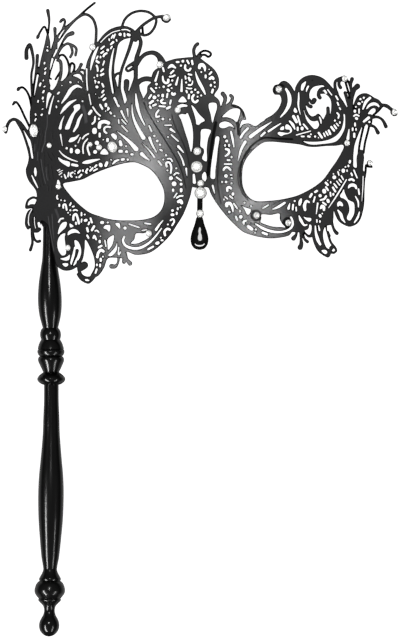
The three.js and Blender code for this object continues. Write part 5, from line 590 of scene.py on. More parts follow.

# Deep black strokes of the sheet, and painted highlights, lighter strokes where the strength is below 0.
# Each row is strength, half width, x, y.
PAINT = [
[1,1.25,1.35,7.4,1.35,1.6],
[1,.8,9.4,46,8.2,40,7.1,33,6.2,26.5,5.3,19.5],
[1,.55,17.6,54.2,21.5,53.1,23.4,48.8],
[.9,.9,20.3,45.2,20.7,42.4,20.9,40.2],
[1,.4,20.6,47.6,20.7,43.4,21,39.2],
[1,.5,47.5,37.6,40,37.9,33.5,38.2,28.5,35.4,24.2,30.4,22,24.4,21.6,17.4,23.1,11.8,27.2,7.4],
[1,.55,31.95,-.4,31.2,1.3,29.5,2.05,27.8,1.3,27.05,-.4,27.8,-2.1,29.5,-2.85,31.2,-2.1,31.95,-.4],
[1,.7,47.7,-4.1,47,-2.5,45.4,-1.8,43.8,-2.5,43.1,-4.1,43.8,-5.7,45.4,-6.4,47,-5.7,47.7,-4.1],
[.8,.6,38.6,60.6,38.4,63.6,40.7,65.2,43.2,64],
[.8,.5,-13.8,84,-14.4,88.6,-17.4,94.6],
[-.6,.8,-57,54.2,-55.8,50.4,-55.3,46.2],
[-.5,.6,-70.5,2.6,-68.7,-2.6,-67.9,-7.5],
]

# Turned runs of the stick from its tip behind the sheet to the end ball, each a row of half width, y.
# They meet in sharp creases.
STICK_TURNINGS = [
    [0, 46, 2.2, 46, 2.6, 45, 2.9, 30, 3.1, 5, 3.3, -15, 3.6, -22, 4.5, -28, 5.5, -35, 5.95, -43,
     5.4, -50, 3.85, -56.4],
    [3.85, -56.4, 4.55, -57.2, 5.05, -58.4, 5.23, -59.9, 5.0, -61.4, 4.7, -62.3],
    [4.7, -62.3, 5.2, -63.0, 5.8, -64.2, 6.3, -65.8, 6.55, -67.0],
    [6.55, -67.0, 6.3, -67.2],
    [6.3, -67.2, 6.7, -67.7, 6.78, -68.4, 6.4, -69.7, 5.6, -70.6],
    [5.6, -70.6, 6.25, -71.2, 6.56, -72.3, 6.35, -73.3, 5.45, -75.4, 4.6, -77.2, 3.95, -78.6],
    [3.95, -78.6, 5.1, -79.4, 6.25, -80.4, 6.95, -81.6, 6.95, -82.5, 6.3, -83.5, 4.7, -84.6, 3.65, -84.9],
    [3.65, -84.9, 3.7, -93, 4.05, -102, 4.25, -109, 5.1, -120, 6.1, -131, 6.4, -140, 6.1, -152,
     5.3, -162, 4.4, -171, 3.6, -175.5, 3.45, -177.2, 4.05, -179, 4.7, -180.2, 5.2, -181.1],
    [5.2, -181.1, 5.45, -181.6, 5.42, -182.3, 5.2, -182.8],
    [5.2, -182.8, 5.95, -183.3, 6.8, -184.4, 7.4, -186, 7.65, -187.6, 7.4, -189, 6.5, -190.4, 5.4, -191.7],
    [5.4, -191.7, 5.7, -192.1, 5.6, -192.7, 5.15, -193.2],
    [5.15, -193.2, 4.0, -194.3, 3.06, -195.5, 2.7, -196.9, 2.75, -198.5, 3.2, -200, 4.05, -201.5,
     4.8, -203.2, 5.06, -205.2, 4.7, -207.2, 3.8, -208.7, 1.9, -210.2, 0, -210.7],
]
STICK_BALL_Y = -187.6
STICK_BALL_RADIUS = 7.65
STICK_GLUED_Y = 20
STICK_GLUED_RADIUS = 3.25
STICK_END_RADIUS = 0.05
STICK_CREASE = math.radians(40)
FLAT_DEPTH = 0.12

# The stick's slight bow: its x at the beads, how far the foot and the head stand aside of it, and where.
STICK_X = -72.75
FOOT_BOW = 1.1
FOOT_BOW_TOP = -90
FOOT_BOW_END = -205
HEAD_BOW = 1
HEAD_BOW_LOW = -90
HEAD_BOW_HIGH = -20

# Stones: x, y, half width, half height.
STONES = {
    "stone_left_tip": (-95.9, 42.9, 1.4, 1.4),
    "stone_left_oval": (-81.1, 42, 2.3, 3.2),
    "stone_left_plume": (-73.6, 34.6, 1.3, 1.3),
    "stone_left_eye_corner": (-69, 14.1, 1.4, 1.4),
    "stone_swan_neck": (-52, 83.6, 1.6, 1.6),
    "stone_top": (-15.1, 98.2, 1.7, 1.7),
    "stone_crown_left": (-18.4, 74.7, 1.7, 1.7),
    "stone_cheek_small": (-53.2, 35, 1.2, 1.2),
    "stone_cheek_flower": (-48.7, 33.5, 1.5, 1.5),
    "stone_cheek_oval": (-41.9, 33.7, 2.4, 2.8),
    "stone_crown_base": (-9.5, 52, 1.6, 1.6),
    "stone_bridge_1": (0.2, 31.3, 1.9, 1.9),
    "stone_bridge_2": (0, 23.6, 2.8, 2.8),
    "stone_bridge_3": (1.8, 15.5, 1.6, 1.6),
    "stone_bridge_4": (1.8, 10.7, 2.8, 2.8),
    "stone_drop_top": (1.6, 0.5, 1.8, 1.8),
    "stone_lower_ring": (-64.3, -16.5, 1.5, 1.5),
    "stone_lower_cheek": (-23.8, -9.4, 1.6, 1.6),
    "stone_right_cheek": (29.5, -0.4, 1.6, 1.6),
    "stone_right_swirl": (45.4, -4.1, 1.6, 1.6),
    "stone_right_curl": (40.7, 62.5, 1.6, 1.6),
    "stone_right_top": (73.5, 67.9, 1.5, 1.5),
    "stone_right_tip": (98.4, 51.4, 1.6, 1.6),
    "stone_right_eye_corner": (74.7, 35.8, 1.5, 1.5),
    "stone_right_stalk": (86.3, 25.8, 1.4, 1.4),
}
SEAT_RIM = 0.1

# Rings of a cut stone with a radius and a height of 1: corners, radius, height, turn in corners.
TABLE_RING = (8, 0.56, 1, 0)
STAR_RING = (8, 0.8, 0.8, 0.5)
GIRDLE_RING = (16, 1, 0.5, 0)
LOW_GIRDLE_RING = (16, 1, 0.42, 0)
LOW_RING = (8, 0.52, 0.2, 0.5)

# What the group that sets the stones is given, and how far it may turn a stone.
STONE_SETTER_INPUTS = {
    "Points": "Geometry",
    "Cut stone": "Object",
    "Clear finish": "Material",
    "Foil finish": "Material",
    "Seed": "Int",
}
LARGEST_TURN = math.pi / 4

# The drop's outline: half width, y.
DROP_X = 1.25
DROP_PROFILE = [1.7, -1.7, 2.5, -5, 3.9, -9, 4.5, -12.4, 3.9, -15.3, 2.3, -17.1, 0.6, -17.6]
DROP_HEIGHT = 3.4
DROP_MIDDLE_Y = -11.5
DROP_SEAT_SHARE = 0.75
DROP_SEAT_RISE = 0.3
DROP_OUTLINE_POINTS = 40
DROP_LEVELS = 26
DROP_TOP_SHARE = 0.985
DROP_LEVEL_BUNCHING = 1.6
DROP_SHOULDER = 2.2
DROP_DOME = 2.4
DROP_CREASE = math.radians(50)
GAP = 0.3

# The sheet, and how far its strokes and its fine piercings are drawn fuller than their rows say.
SHEET_THICKNESS = 0.9
EDGE_GROWTH = 0.03
FINE_GROWTH = 0.06
CORNER_SOFTENING = 2
# How dark the grooves are painted, as painted shade, and how light the beads are painted, as a painted
# highlight.
GROOVE_SHADE = 0.6
BEAD_HIGHLIGHT = -0.9
PAINT_FEATHER = 0.25

# Reach of the drawing's grid, and the band beside an outline in which distances are told apart.
GRID_LOW = (-101.5, -35.5)
GRID_HIGH = (101.5, 107.5)
GRID_BAND = 2.0

# How far thinned outlines may stray, their longest side, and the smallest areas that count, in mm and mm2.
OUTLINE_SLACK = 0.015
EDGE_LINE_SLACK = 0.02
LONGEST_SIDE = 2.0
SMALLEST_HOLE = 0.12
SMALLEST_PLATE = 50
SMALLEST_EDGE_LOOP = 0.04

# Spacing of the mesh on the face, on the back and along grooves and strokes.
# The shares say how far from the middle of a groove or stroke its rows of points lie.
FACE_SPACING = 1.5
FACE_INSET = 0.35
BACK_SPACING = 4.0
BACK_INSET = 0.8
GROOVE_SPACING = 0.45
GROOVE_SHARES = (0.02, 0.3, 0.6, 1, 1.3)
STROKE_SPACING = 0.5
STROKE_SHARES = (0.3, 0.75, 1, 1.3)
LINE_INSET = 0.06

# How the shading of a rounded edge leans out of the opening.
EDGE_LEAN_UP = 0.45
EDGE_LEAN_OUT = 0.8

# Shape of the face: a shallow barrel, bowed along its length, with a nose that is lower at its root.
FACE_RADIUS = 180
FACE_AXIS_X = 2
FACE_LENGTH_RADIUS = 1200
FACE_LENGTH_AXIS_Y = 15
NOSE_HEIGHT = 9
NOSE_HALF_WIDTH = 13
NOSE_TOP_Y = 20
NOSE_FADE = 40
NOSE_FADE_SHARE = 0.75

# The felt strip's solid.
STRIP_LEFT = -79.4
STRIP_RIGHT = -69.8
STRIP_BOTTOM = -6
STRIP_TOP = 50.5
STRIP_THICKNESS = 0.9
STRIP_GAP = 0.65


def smooth_step(value, low, high):
    share = np.clip((value - low) / (high - low), 0, 1)
    return share * share * (3 - 2 * share)


def face_height(x, y):
    """Height of the inside of the face, in millimetres."""
    across = x - FACE_AXIS_X
    along = y - FACE_LENGTH_AXIS_Y
    barrel = FACE_RADIUS - np.sqrt(FACE_RADIUS**2 - across**2)
    fade = smooth_step(y, NOSE_TOP_Y, NOSE_TOP_Y + NOSE_FADE)
    ridge = np.exp(-(across**2) / (2 * NOSE_HALF_WIDTH**2))
    nose = NOSE_HEIGHT * ridge * (1 - NOSE_FADE_SHARE * fade)
    return nose - barrel - along**2 / (2 * FACE_LENGTH_RADIUS)


def face_normal(x, y):
    """Directions square to the face, one row for each point."""
    step = 0.05
    dx = (face_height(x + step, y) - face_height(x - step, y)) / (2 * step)
    dy = (face_height(x, y + step) - face_height(x, y - step)) / (2 * step)
    normal = np.stack([-dx, -dy, np.ones_like(dx)], axis=-1)
    return normal / np.linalg.norm(normal, axis=-1, keepdims=True)


# The drawing's origin in the part's frame, in millimetres, read from the felt strip's lowest corner.
STRIP_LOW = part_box("backing_strip")[0]
ORIGIN = np.array([
    STRIP_LOW.x / MM - STRIP_LEFT,
    STRIP_LOW.y / MM - STRIP_BOTTOM,
    STRIP_LOW.z / MM - (face_height(STRIP_LEFT, STRIP_TOP) - STRIP_GAP - STRIP_THICKNESS),
])


# Curves of the drawing


def smooth_curve(knots, closed, spacing):
    """Points of a smooth curve through the knots, about this far apart."""
    count = len(knots)
    spans = count if closed else count - 1
    if count == 1:
        return knots
    found = []
    for i in range(spans):
        p1 = knots[i]
        p2 = knots[(i + 1) % count]
        p0 = knots[i - 1] if closed or i > 0 else 2 * p1 - p2
        p3 = knots[(i + 2) % count] if closed or i + 2 < count else 2 * p2 - p1
        d01 = max(1e-4, np.linalg.norm(p1 - p0) ** 0.5)
        d12 = max(1e-4, np.linalg.norm(p2 - p1) ** 0.5)
        d23 = max(1e-4, np.linalg.norm(p3 - p2) ** 0.5)
        m1 = ((p1 - p0) / d01 - (p2 - p0) / (d01 + d12) + (p2 - p1) / d12) * d12
        m2 = ((p2 - p1) / d12 - (p3 - p1) / (d12 + d23) + (p3 - p2) / d23) * d12
        steps = max(2, math.ceil(np.linalg.norm(p2 - p1) / spacing))
        t = (np.arange(steps) / steps)[:, None]
        found.append(
            (2 * t**3 - 3 * t**2 + 1) * p1
            + (t**3 - 2 * t**2 + t) * m1
            + (-2 * t**3 + 3 * t**2) * p2
            + (t**3 - t**2) * m2
        )
    if not closed:
        found.append(knots[-1:])
    return np.concatenate(found)


def curve_points(pairs, closed, spacing=0.4):
    """A smooth curve through a row of x, y pairs."""
    return smooth_curve(np.array(pairs, float).reshape(-1, 2), closed, spacing)


def shares_along(points):
    """Share of the whole length that each point of a line stands at."""
    steps = np.linalg.norm(np.diff(points, axis=0), axis=1)
    reached = np.concatenate([[0], np.cumsum(steps)])
    return reached / max(reached[-1], 1e-9)


def evenly_along(points, count):
    """This many points spread evenly along a line."""
    even = np.linspace(0, 1, count)
    shares = shares_along(points)
    return np.column_stack([np.interp(even, shares, points[:, 0]), np.interp(even, shares, points[:, 1])])


# Distance field: below 0 inside the metal


def keep_stronger(part, value):
    """Writes the value wherever it is further from 0 than what stands there."""
    np.copyto(part, value, where=np.abs(value) > np.abs(part))


class Field:
    """Signed distance to the drawing's outline on a square grid, with the relief and the shading."""

    def __init__(self, low, high, step, band):
        self.step = step
        self.band = band
        self.x = np.arange(low[0], high[0] + step, step)
        self.y = np.arange(low[1], high[1] + step, step)
        self.value = np.full((len(self.y), len(self.x)), band)
        self.relief = np.zeros_like(self.value)
        self.shade = np.zeros_like(self.value)

    def window(self, points, reach):
        """Rows and columns of the grid within reach of the points."""
        low = points.min(axis=0) - reach
        high = points.max(axis=0) + reach
        columns = slice(*np.searchsorted(self.x, [low[0], high[0]]))
        rows = slice(*np.searchsorted(self.y, [low[1], high[1]]))
        return rows, columns

    def stroke(self, widths, points):
        """Distance to a stroke with round ends, and where it holds."""
        widths = np.atleast_1d(np.array(widths, float))
        share = shares_along(points)
        width = np.interp(share, np.linspace(0, 1, len(widths)), widths)
        reach = widths.max() + self.band
        rows, columns = self.window(points, reach)
        found = np.full((rows.stop - rows.start, columns.stop - columns.start), self.band)
        if len(points) == 1:
            points = np.concatenate([points, points + [1e-3, 0]])
            width = np.array([widths[0], widths[0]])
        for a, b, wa, wb in zip(points[:-1], points[1:], width[:-1], width[1:]):
            r, c = self.window(np.array([a, b]), max(wa, wb) + self.band)
            r = slice(max(r.start, rows.start), min(r.stop, rows.stop))
            c = slice(max(c.start, columns.start), min(c.stop, columns.stop))
            gx = self.x[c][None, :] - a[0]
            gy = self.y[r][:, None] - a[1]
            d = b - a
            t = np.clip((gx * d[0] + gy * d[1]) / (d @ d), 0, 1)
            away = np.hypot(gx - t * d[0], gy - t * d[1]) - (wa + t * (wb - wa))
            part = found[
                r.start - rows.start : r.stop - rows.start,
                c.start - columns.start : c.stop - columns.start,
            ]
            np.minimum(part, away, out=part)
        return found, rows, columns

    def plate(self, points):
        """Distance to a closed plate, and where it holds."""
        loop = np.concatenate([points, points[:1]])
        away, rows, columns = self.stroke([0], loop)
        inside = np.zeros(away.shape, bool)
        gx = self.x[columns]
        gy = self.y[rows]
        for a, b in zip(loop[:-1], loop[1:]):
            low, high = (a, b) if a[1] < b[1] else (b, a)
            first, last = np.searchsorted(gy, [low[1], high[1]])
            if first == last:
                continue
            share = (gy[first:last] - low[1]) / (high[1] - low[1])
            crossing = low[0] + share * (high[0] - low[0])
            inside[first:last] ^= gx[None, :] > crossing[:, None]
        return np.where(inside, -away, away), rows, columns

    def shape(self, row):
        """Distance to the plate or stroke of a row of the drawing, and where it holds."""
        if row[0] == 0:
            return self.plate(curve_points(row[1:], True))
        return self.stroke(row[0], curve_points(row[1:], False))

    def join(self, found, rows, columns):
        """Joins a shape to the metal."""
        part = self.value[rows, columns]
        np.minimum(part, found, out=part)

    def add(self, row):
        self.join(*self.shape(row))

    def cut(self, row):
        found, rows, columns = self.shape(row)
        part = self.value[rows, columns]
        np.maximum(part, -found, out=part)

    def soften(self, passes):
        """Rounds the corners that the saw and the file would round."""
        v = self.value
        for _ in range(passes):
            v[1:-1] = (v[:-2] + 2 * v[1:-1] + v[2:]) / 4
            v[:, 1:-1] = (v[:, :-2] + 2 * v[:, 1:-1] + v[:, 2:]) / 4

    def engrave(self, row):
        """Presses a groove, or raises a bead where the depth is below 0, and gives its middle line."""
        depth, width = row[:2]
        points = curve_points(row[2:], False)
        found, rows, columns = self.stroke(width, points)
        profile = np.clip(1 - (1 + found / width) ** 2, 0, 1) ** 2
        # Painted shade in the grooves, and a painted highlight along the beads.
        tone = GROOVE_SHADE if depth > 0 else BEAD_HIGHLIGHT
        keep_stronger(self.relief[rows, columns], -depth * profile)
        keep_stronger(self.shade[rows, columns], tone * profile)
        return points

    def paint(self, row):
        """Blackens a stroke, or makes it lighter as a painted highlight where the strength is below 0.
        Gives its middle line.
        """
        strength, width = row[:2]
        points = curve_points(row[2:], False)
        found, rows, columns = self.stroke(width, points)
        cover = strength * np.clip(0.5 - found / PAINT_FEATHER, 0, 1)
        keep_stronger(self.shade[rows, columns], cover)
        return points

    def at(self, points, grid=None):
        """Field, or another grid, at any points between the grid's."""
        u = np.clip((points[:, 0] - self.x[0]) / self.step, 0, len(self.x) - 1.001)
        v = np.clip((points[:, 1] - self.y[0]) / self.step, 0, len(self.y) - 1.001)
        i = u.astype(int)
        j = v.astype(int)
        s = u - i
        t = v - j
        f = self.value if grid is None else grid
        return (f[j, i] * (1 - s) + f[j, i + 1] * s) * (1 - t) + (
            f[j + 1, i] * (1 - s) + f[j + 1, i + 1] * s
        ) * t

    def slope(self, points):
        """Unit directions in which the field grows, away from the metal."""
        e = self.step
        gx = self.at(points + [e, 0]) - self.at(points - [e, 0])
        gy = self.at(points + [0, e]) - self.at(points - [0, e])
        size = np.maximum(np.hypot(gx, gy), 1e-9)
        return np.stack([gx / size, gy / size], axis=1)

    def outlines(self, level):
        """Closed loops along which the field equals the level."""
        v = self.value - level
        v = np.where(np.abs(v) < 1e-6, 1e-6, v)
        inside = v < 0
        rows, columns = v.shape
        across = inside[:, :-1] != inside[:, 1:]
        along = inside[:-1] != inside[1:]
        number = {}
        places = []

        def corner(kind, j, i):
            key = (kind, j, i)
            if key not in number:
                number[key] = len(places)
                a = v[j, i]
                b = v[j, i + 1] if kind == 0 else v[j + 1, i]
                t = a / (a - b)
                x = self.x[i] + (t * self.step if kind == 0 else 0)
                y = self.y[j] + (t * self.step if kind == 1 else 0)
                places.append((x, y))
            return number[key]

        busy = (across[:-1] | across[1:]) | (along[:, :-1] | along[:, 1:])
        following = {}
        for j, i in zip(*np.nonzero(busy)):
            here = [inside[j, i], inside[j, i + 1], inside[j + 1, i + 1], inside[j + 1, i]]
            sides = [(0, j, i), (1, j, i + 1), (0, j + 1, i), (1, j, i)]
            leaves = []
            enters = []
            for k in range(4):
                if here[k] and not here[(k + 1) % 4]:
                    leaves.append(k)
                if not here[k] and here[(k + 1) % 4]:
                    enters.append(k)
            # A square whose opposite corners are metal is joined or parted as its middle says.
            if len(leaves) == 2:
                middle = v[j : j + 2, i : i + 2].mean() < 0
                pairs = []
                for k in leaves:
                    other = (k + 1) % 4 if middle else (k - 1) % 4
                    pairs.append((k, other))
            else:
                pairs = list(zip(leaves, enters))
            for k, m in pairs:
                following[corner(*sides[k])] = corner(*sides[m])
        places = np.array(places)
        loops = []
        while following:
            start = next(iter(following))
            loop = [start]
            here = following.pop(start)
            while here != start:
                loop.append(here)
                here = following.pop(here)
            loops.append(places[loop])
        return loops


# Flat triangles inside the outlines


def thin_out(loop, slack, longest):
    """The loop with only the points that it needs."""
    count = len(loop)
    keep = np.zeros(count + 1, bool)
    ring = np.concatenate([loop, loop[:1]])
    half = count // 2
    keep[[0, half, count]] = True
    waiting = [(0, half), (half, count)]
    while waiting:
        a, b = waiting.pop()
        if b - a < 2:
            continue
        line = ring[b] - ring[a]
        size = np.linalg.norm(line)
        between = ring[a + 1 : b] - ring[a]
        if size < 1e-6:
            off = np.linalg.norm(between, axis=1)
        else:
            off = np.abs(between[:, 0] * line[1] - between[:, 1] * line[0]) / size
        worst = int(off.argmax())
        if off[worst] > slack or size > longest:
            at = a + 1 + worst if off[worst] > slack else (a + b) // 2
            keep[at] = True
            waiting += [(a, at), (at, b)]
    return loop[keep[:-1]]


def loop_area(loop):
    """Area inside a loop, below 0 for a hole."""
    x, y = loop[:, 0], loop[:, 1]
    return float((x * np.roll(y, -1) - y * np.roll(x, -1)).sum() / 2)


def triangles_inside(field, points, edges):
    """Triangles of the metal between the given edges, as places and rows of three."""
    found = delaunay_2d_cdt([Vector(p) for p in points.tolist()], edges.tolist(), [], 0, 1e-5)
    places = np.array([tuple(p) for p in found[0]])
    triangles = np.array([t for t in found[2] if len(t) == 3])
    fixed = {tuple(sorted(e)) for e, origin in zip(found[1], found[4]) if origin}
    owner = list(range(len(triangles)))

    def root(i):
        while owner[i] != i:
            owner[i] = owner[owner[i]]
            i = owner[i]
        return i

    shared = {}
    for number, (a, b, c) in enumerate(triangles.tolist()):
        for p, q in ((a, b), (b, c), (c, a)):
            key = (p, q) if p < q else (q, p)
            if key in fixed:
                continue
            if key in shared:
                one, other = root(shared[key]), root(number)
                if one != other:
                    owner[one] = other
            else:
                shared[key] = number
    # Each region between the edges is metal or opening as its fattest triangle says.
    region = np.array([root(i) for i in range(len(triangles))])
    corner = places[triangles]
    ab = corner[:, 1] - corner[:, 0]
    ac = corner[:, 2] - corner[:, 0]
    area = (ab[:, 0] * ac[:, 1] - ab[:, 1] * ac[:, 0]) / 2
    triangles = np.where(area[:, None] < 0, triangles[:, ::-1], triangles)
    round_length = (
        np.linalg.norm(ab, axis=1) + np.linalg.norm(ac, axis=1) + np.linalg.norm(ab - ac, axis=1)
    )
    fatness = np.abs(area) / np.maximum(round_length, 1e-9)
    inside = field.at(corner.mean(axis=1)) < 0
    order = np.argsort(fatness)
    verdict = {}
    for i in order:
        verdict[region[i]] = inside[i]
    keep = np.array([verdict[r] for r in region])
    return places, triangles[keep]


def scattered(field, spacing, inset):
    """Points of a triangular pattern well inside the metal."""
    rows = np.arange(field.y[0], field.y[-1], spacing * math.sqrt(0.75))
    points = []
    for number, y in enumerate(rows):
        x = np.arange(field.x[0] + (number % 2) * spacing / 2, field.x[-1], spacing)
        points.append(np.stack([x, np.full(len(x), y)], axis=1))
    points = np.concatenate(points)
    return points[field.at(points) < -inset]


def loop_edges(loops):
    """All the loops' points, and their sides as pairs of point numbers."""
    points = np.concatenate(loops)
    edges = []
    start = 0
    for loop in loops:
        numbers = np.arange(start, start + len(loop))
        edges.append(np.stack([numbers, np.roll(numbers, -1)], axis=1))
        start += len(loop)
    return points, np.concatenate(edges)


def edge_of(triangles):
    """Directed sides that belong to one triangle only."""
    sides = np.concatenate([triangles[:, [0, 1]], triangles[:, [1, 2]], triangles[:, [2, 0]]])
    there = set(map(tuple, sides.tolist()))
    return np.array([(a, b) for a, b in there if (b, a) not in there])


def within_solids(places):
    """Holds places in metres within the box of the solids."""
    return np.clip(places, np.array(SOLID_LOW) + HAIR, np.array(SOLID_HIGH) - HAIR)


def new_piece(name, vertices, faces, normals=None):
    """A mesh object from vertices in millimetres of the drawing."""
    mesh = bpy.data.meshes.new(name)
    placed = within_solids((np.asarray(vertices, float) + ORIGIN) * MM)
    mesh.from_pydata(placed.tolist(), [], faces)
    mesh.shade_smooth()
    mesh.update()
    if normals is not None:
        mesh.normals_split_custom_set(normals)
    piece = bpy.data.objects.new(name, mesh)
    bpy.context.scene.collection.objects.link(piece)
    return piece


# The pierced sheet


def pierced_field(step):
    """Distance field of the whole drawing."""
    field = Field(GRID_LOW, GRID_HIGH, step, GRID_BAND)
    for groups, work in ((BODY, field.add), (CUTS, field.cut), (STROKES, field.add)):
        for _, rows in groups:
            for row in rows:
                work(row)
    for x, y, w, h in STONES.values():
        field.add([max(w, h) + SEAT_RIM, x, y])
    right = curve_points(DROP_PROFILE, False)
    left = right[::-1] * [-1, 1]
    seat = np.concatenate([right, left]) * [DROP_SEAT_SHARE, 1] + [DROP_X, DROP_SEAT_RISE]
    field.join(*field.plate(seat))
    field.value -= EDGE_GROWTH
    for _, rows in FINE:
        for row in rows:
            field.cut(row)
    field.soften(CORNER_SOFTENING)
    field.value -= FINE_GROWTH
    return field


def points_along(press, rows, spacing, shares):
    """Presses or paints every row, and gives points along it at these shares of its half width."""
    found = []
    for row in rows:
        points = press(row)
        length = np.linalg.norm(np.diff(points, axis=0), axis=1).sum()
        line = evenly_along(points, max(3, round(length / spacing)))
        along = np.gradient(line, axis=0)
        along /= np.linalg.norm(along, axis=1, keepdims=True)
        across = along[:, ::-1] * [-1, 1] * row[1]
        for share in shares:
            found.append(line + across * share)
            found.append(line - across * share)
    return np.concatenate(found)


def edge_loops(field, edge_width):
    """Outlines of the metal, and the lines at which its rounded edges begin."""
    outer = [thin_out(loop, OUTLINE_SLACK, LONGEST_SIDE) for loop in field.outlines(0.0)]
    inner = [thin_out(loop, EDGE_LINE_SLACK, LONGEST_SIDE) for loop in field.outlines(-edge_width)]
    holes_and_plate = [
        loop for loop in outer
        if len(loop) > 3 and loop_area(loop) < -SMALLEST_HOLE or loop_area(loop) > SMALLEST_PLATE
    ]
    edge_lines = [loop for loop in inner if len(loop) > 3 and abs(loop_area(loop)) > SMALLEST_EDGE_LOOP]
    return holes_and_plate + edge_lines


def face_triangles(field, edge_width):
    """Places and triangles of the sheet's face, flat in the drawing."""
    points, edges = loop_edges(edge_loops(field, edge_width))
    grooves = points_along(field.engrave, RELIEF, GROOVE_SPACING, GROOVE_SHARES)
    strokes = points_along(field.paint, PAINT, STROKE_SPACING, STROKE_SHARES)
    lines = np.concatenate([grooves, strokes])
    lines = lines[field.at(lines) < -edge_width - LINE_INSET]
    spread = scattered(field, FACE_SPACING, edge_width + FACE_INSET)
    places, triangles = triangles_inside(field, np.concatenate([points, spread, lines]), edges)
    used = np.unique(triangles)
    number = np.full(len(places), -1)
    number[used] = np.arange(len(used))
    return places[used], number[triangles]


def back_triangles(field, places, rim):
    """Places and triangles of the sheet's back, and which of the face's places lie above its outline."""
    above, edges = np.unique(rim, return_inverse=True)
    points = np.concatenate([places[above], scattered(field, BACK_SPACING, BACK_INSET)])
    back_places, triangles = triangles_inside(field, points, edges.reshape(rim.shape))
    if len(back_places) != len(points):
        raise RuntimeError("the outline of the back doesn't match the face's")
    return back_places, triangles, above


def sheet_normals(field, vertices, inset, top, walls, back):
    """Shading of the sheet: round along its upper edges, pressed in its grooves, flat on its back."""
    up = face_normal(vertices[:, 0], vertices[:, 1])
    away = field.slope(vertices[:, :2])
    away = np.column_stack([away, np.zeros(len(away))])
    share = np.concatenate([inset, np.zeros(len(vertices) - len(inset))])[:, None]
    slope_y, slope_x = (field.at(vertices[:, :2], g) for g in np.gradient(field.relief, field.step))
    slopes = np.column_stack([slope_x, slope_y, np.zeros(len(vertices))])
    tilted = up * (1 - EDGE_LEAN_UP * share) + away * EDGE_LEAN_OUT * share - slopes
    normals = np.concatenate([tilted[top], away[walls], -up[back]])
    return normals / np.linalg.norm(normals, axis=2, keepdims=True)


def pierced_sheet(name, step, edge_width, edge_drop):
    """The bent sheet with rounded upper edges around every opening."""
    field = pierced_field(step)
    places, top = face_triangles(field, edge_width)
    rim = edge_of(top)
    back_places, back, above = back_triangles(field, places, rim)
    inset = np.clip(1 + field.at(places) / edge_width, 0, 1)
    face = face_height(places[:, 0], places[:, 1]) + SHEET_THICKNESS
    pressed = field.at(places, field.relief) - edge_drop * inset**2
    upper = np.column_stack([places, face + pressed])
    lower = np.column_stack([back_places, face_height(back_places[:, 0], back_places[:, 1])])
    vertices = np.concatenate([upper, lower])

    count = len(places)
    under = np.full(count, -1)
    under[above] = count + np.arange(len(above))
    a, b = rim[:, 0], rim[:, 1]
    walls = np.concatenate([
        np.column_stack([b, a, under[a]]),
        np.column_stack([b, under[a], under[b]]),
    ])
    back = back[:, ::-1] + count
    faces = np.concatenate([top, walls, back])
    normals = sheet_normals(field, vertices, inset, top, walls, back)
    piece = new_piece(name, vertices, faces.tolist(), normals.reshape(-1, 3).tolist())
    shade = field.at(places, field.shade)
    for label, on_face, on_back in (("edge", inset, 1), ("shade", shade, 0)):
        attribute = piece.data.attributes.new(label, "FLOAT", "POINT")
        attribute.data.foreach_set("value", np.concatenate([on_face, np.full(len(lower), on_back)]))
    return piece


# Stones


def cut_stone(name):
    """A brilliant with a radius and a height of 1: faceted crown, girdle and pointed underside."""

    vertices = []
    starts = []
    for count, radius, height, turn in (TABLE_RING, STAR_RING, GIRDLE_RING, LOW_GIRDLE_RING, LOW_RING):
        starts.append(len(vertices))
        for k in range(count):
            angle = math.tau * (k + turn) / count
            vertices.append((radius * math.cos(angle), radius * math.sin(angle), height))
    table, star, girdle, low_girdle, low = starts
    tip = len(vertices)
    vertices.append((0, 0, 0))
    faces = [list(range(8))]
    for k in range(8):
        after = (k + 1) % 8
        before = (k - 1) % 8
        here = 2 * k
        faces.append([table + k, star + k, table + after])
        faces.append([table + k, star + before, girdle + here, star + k])
        faces.append([star + k, girdle + here, girdle + here + 1])
        faces.append([star + k, girdle + here + 1, girdle + (here + 2) % 16])
    crown_faces = len(faces)
    for k in range(16):
        after = (k + 1) % 16
        faces.append([girdle + k, low_girdle + k, low_girdle + after, girdle + after])
    for k in range(8):
        before = (k - 1) % 8
        here = 2 * k
        faces.append([low + k, low_girdle + here + 1, low_girdle + here])
        faces.append([low + k, low_girdle + (here + 2) % 16, low_girdle + here + 1])
        faces.append([tip, low + k, low_girdle + here, low + before])
    mesh = bpy.data.meshes.new(name)
    mesh.from_pydata(vertices, [], faces)
    foil = mesh.attributes.new("foil", "BOOLEAN", "FACE")
    foil.data.foreach_set("value", [i >= crown_faces + 16 for i in range(len(faces))])
    mesh.update()
    return bpy.data.objects.new(name, mesh)


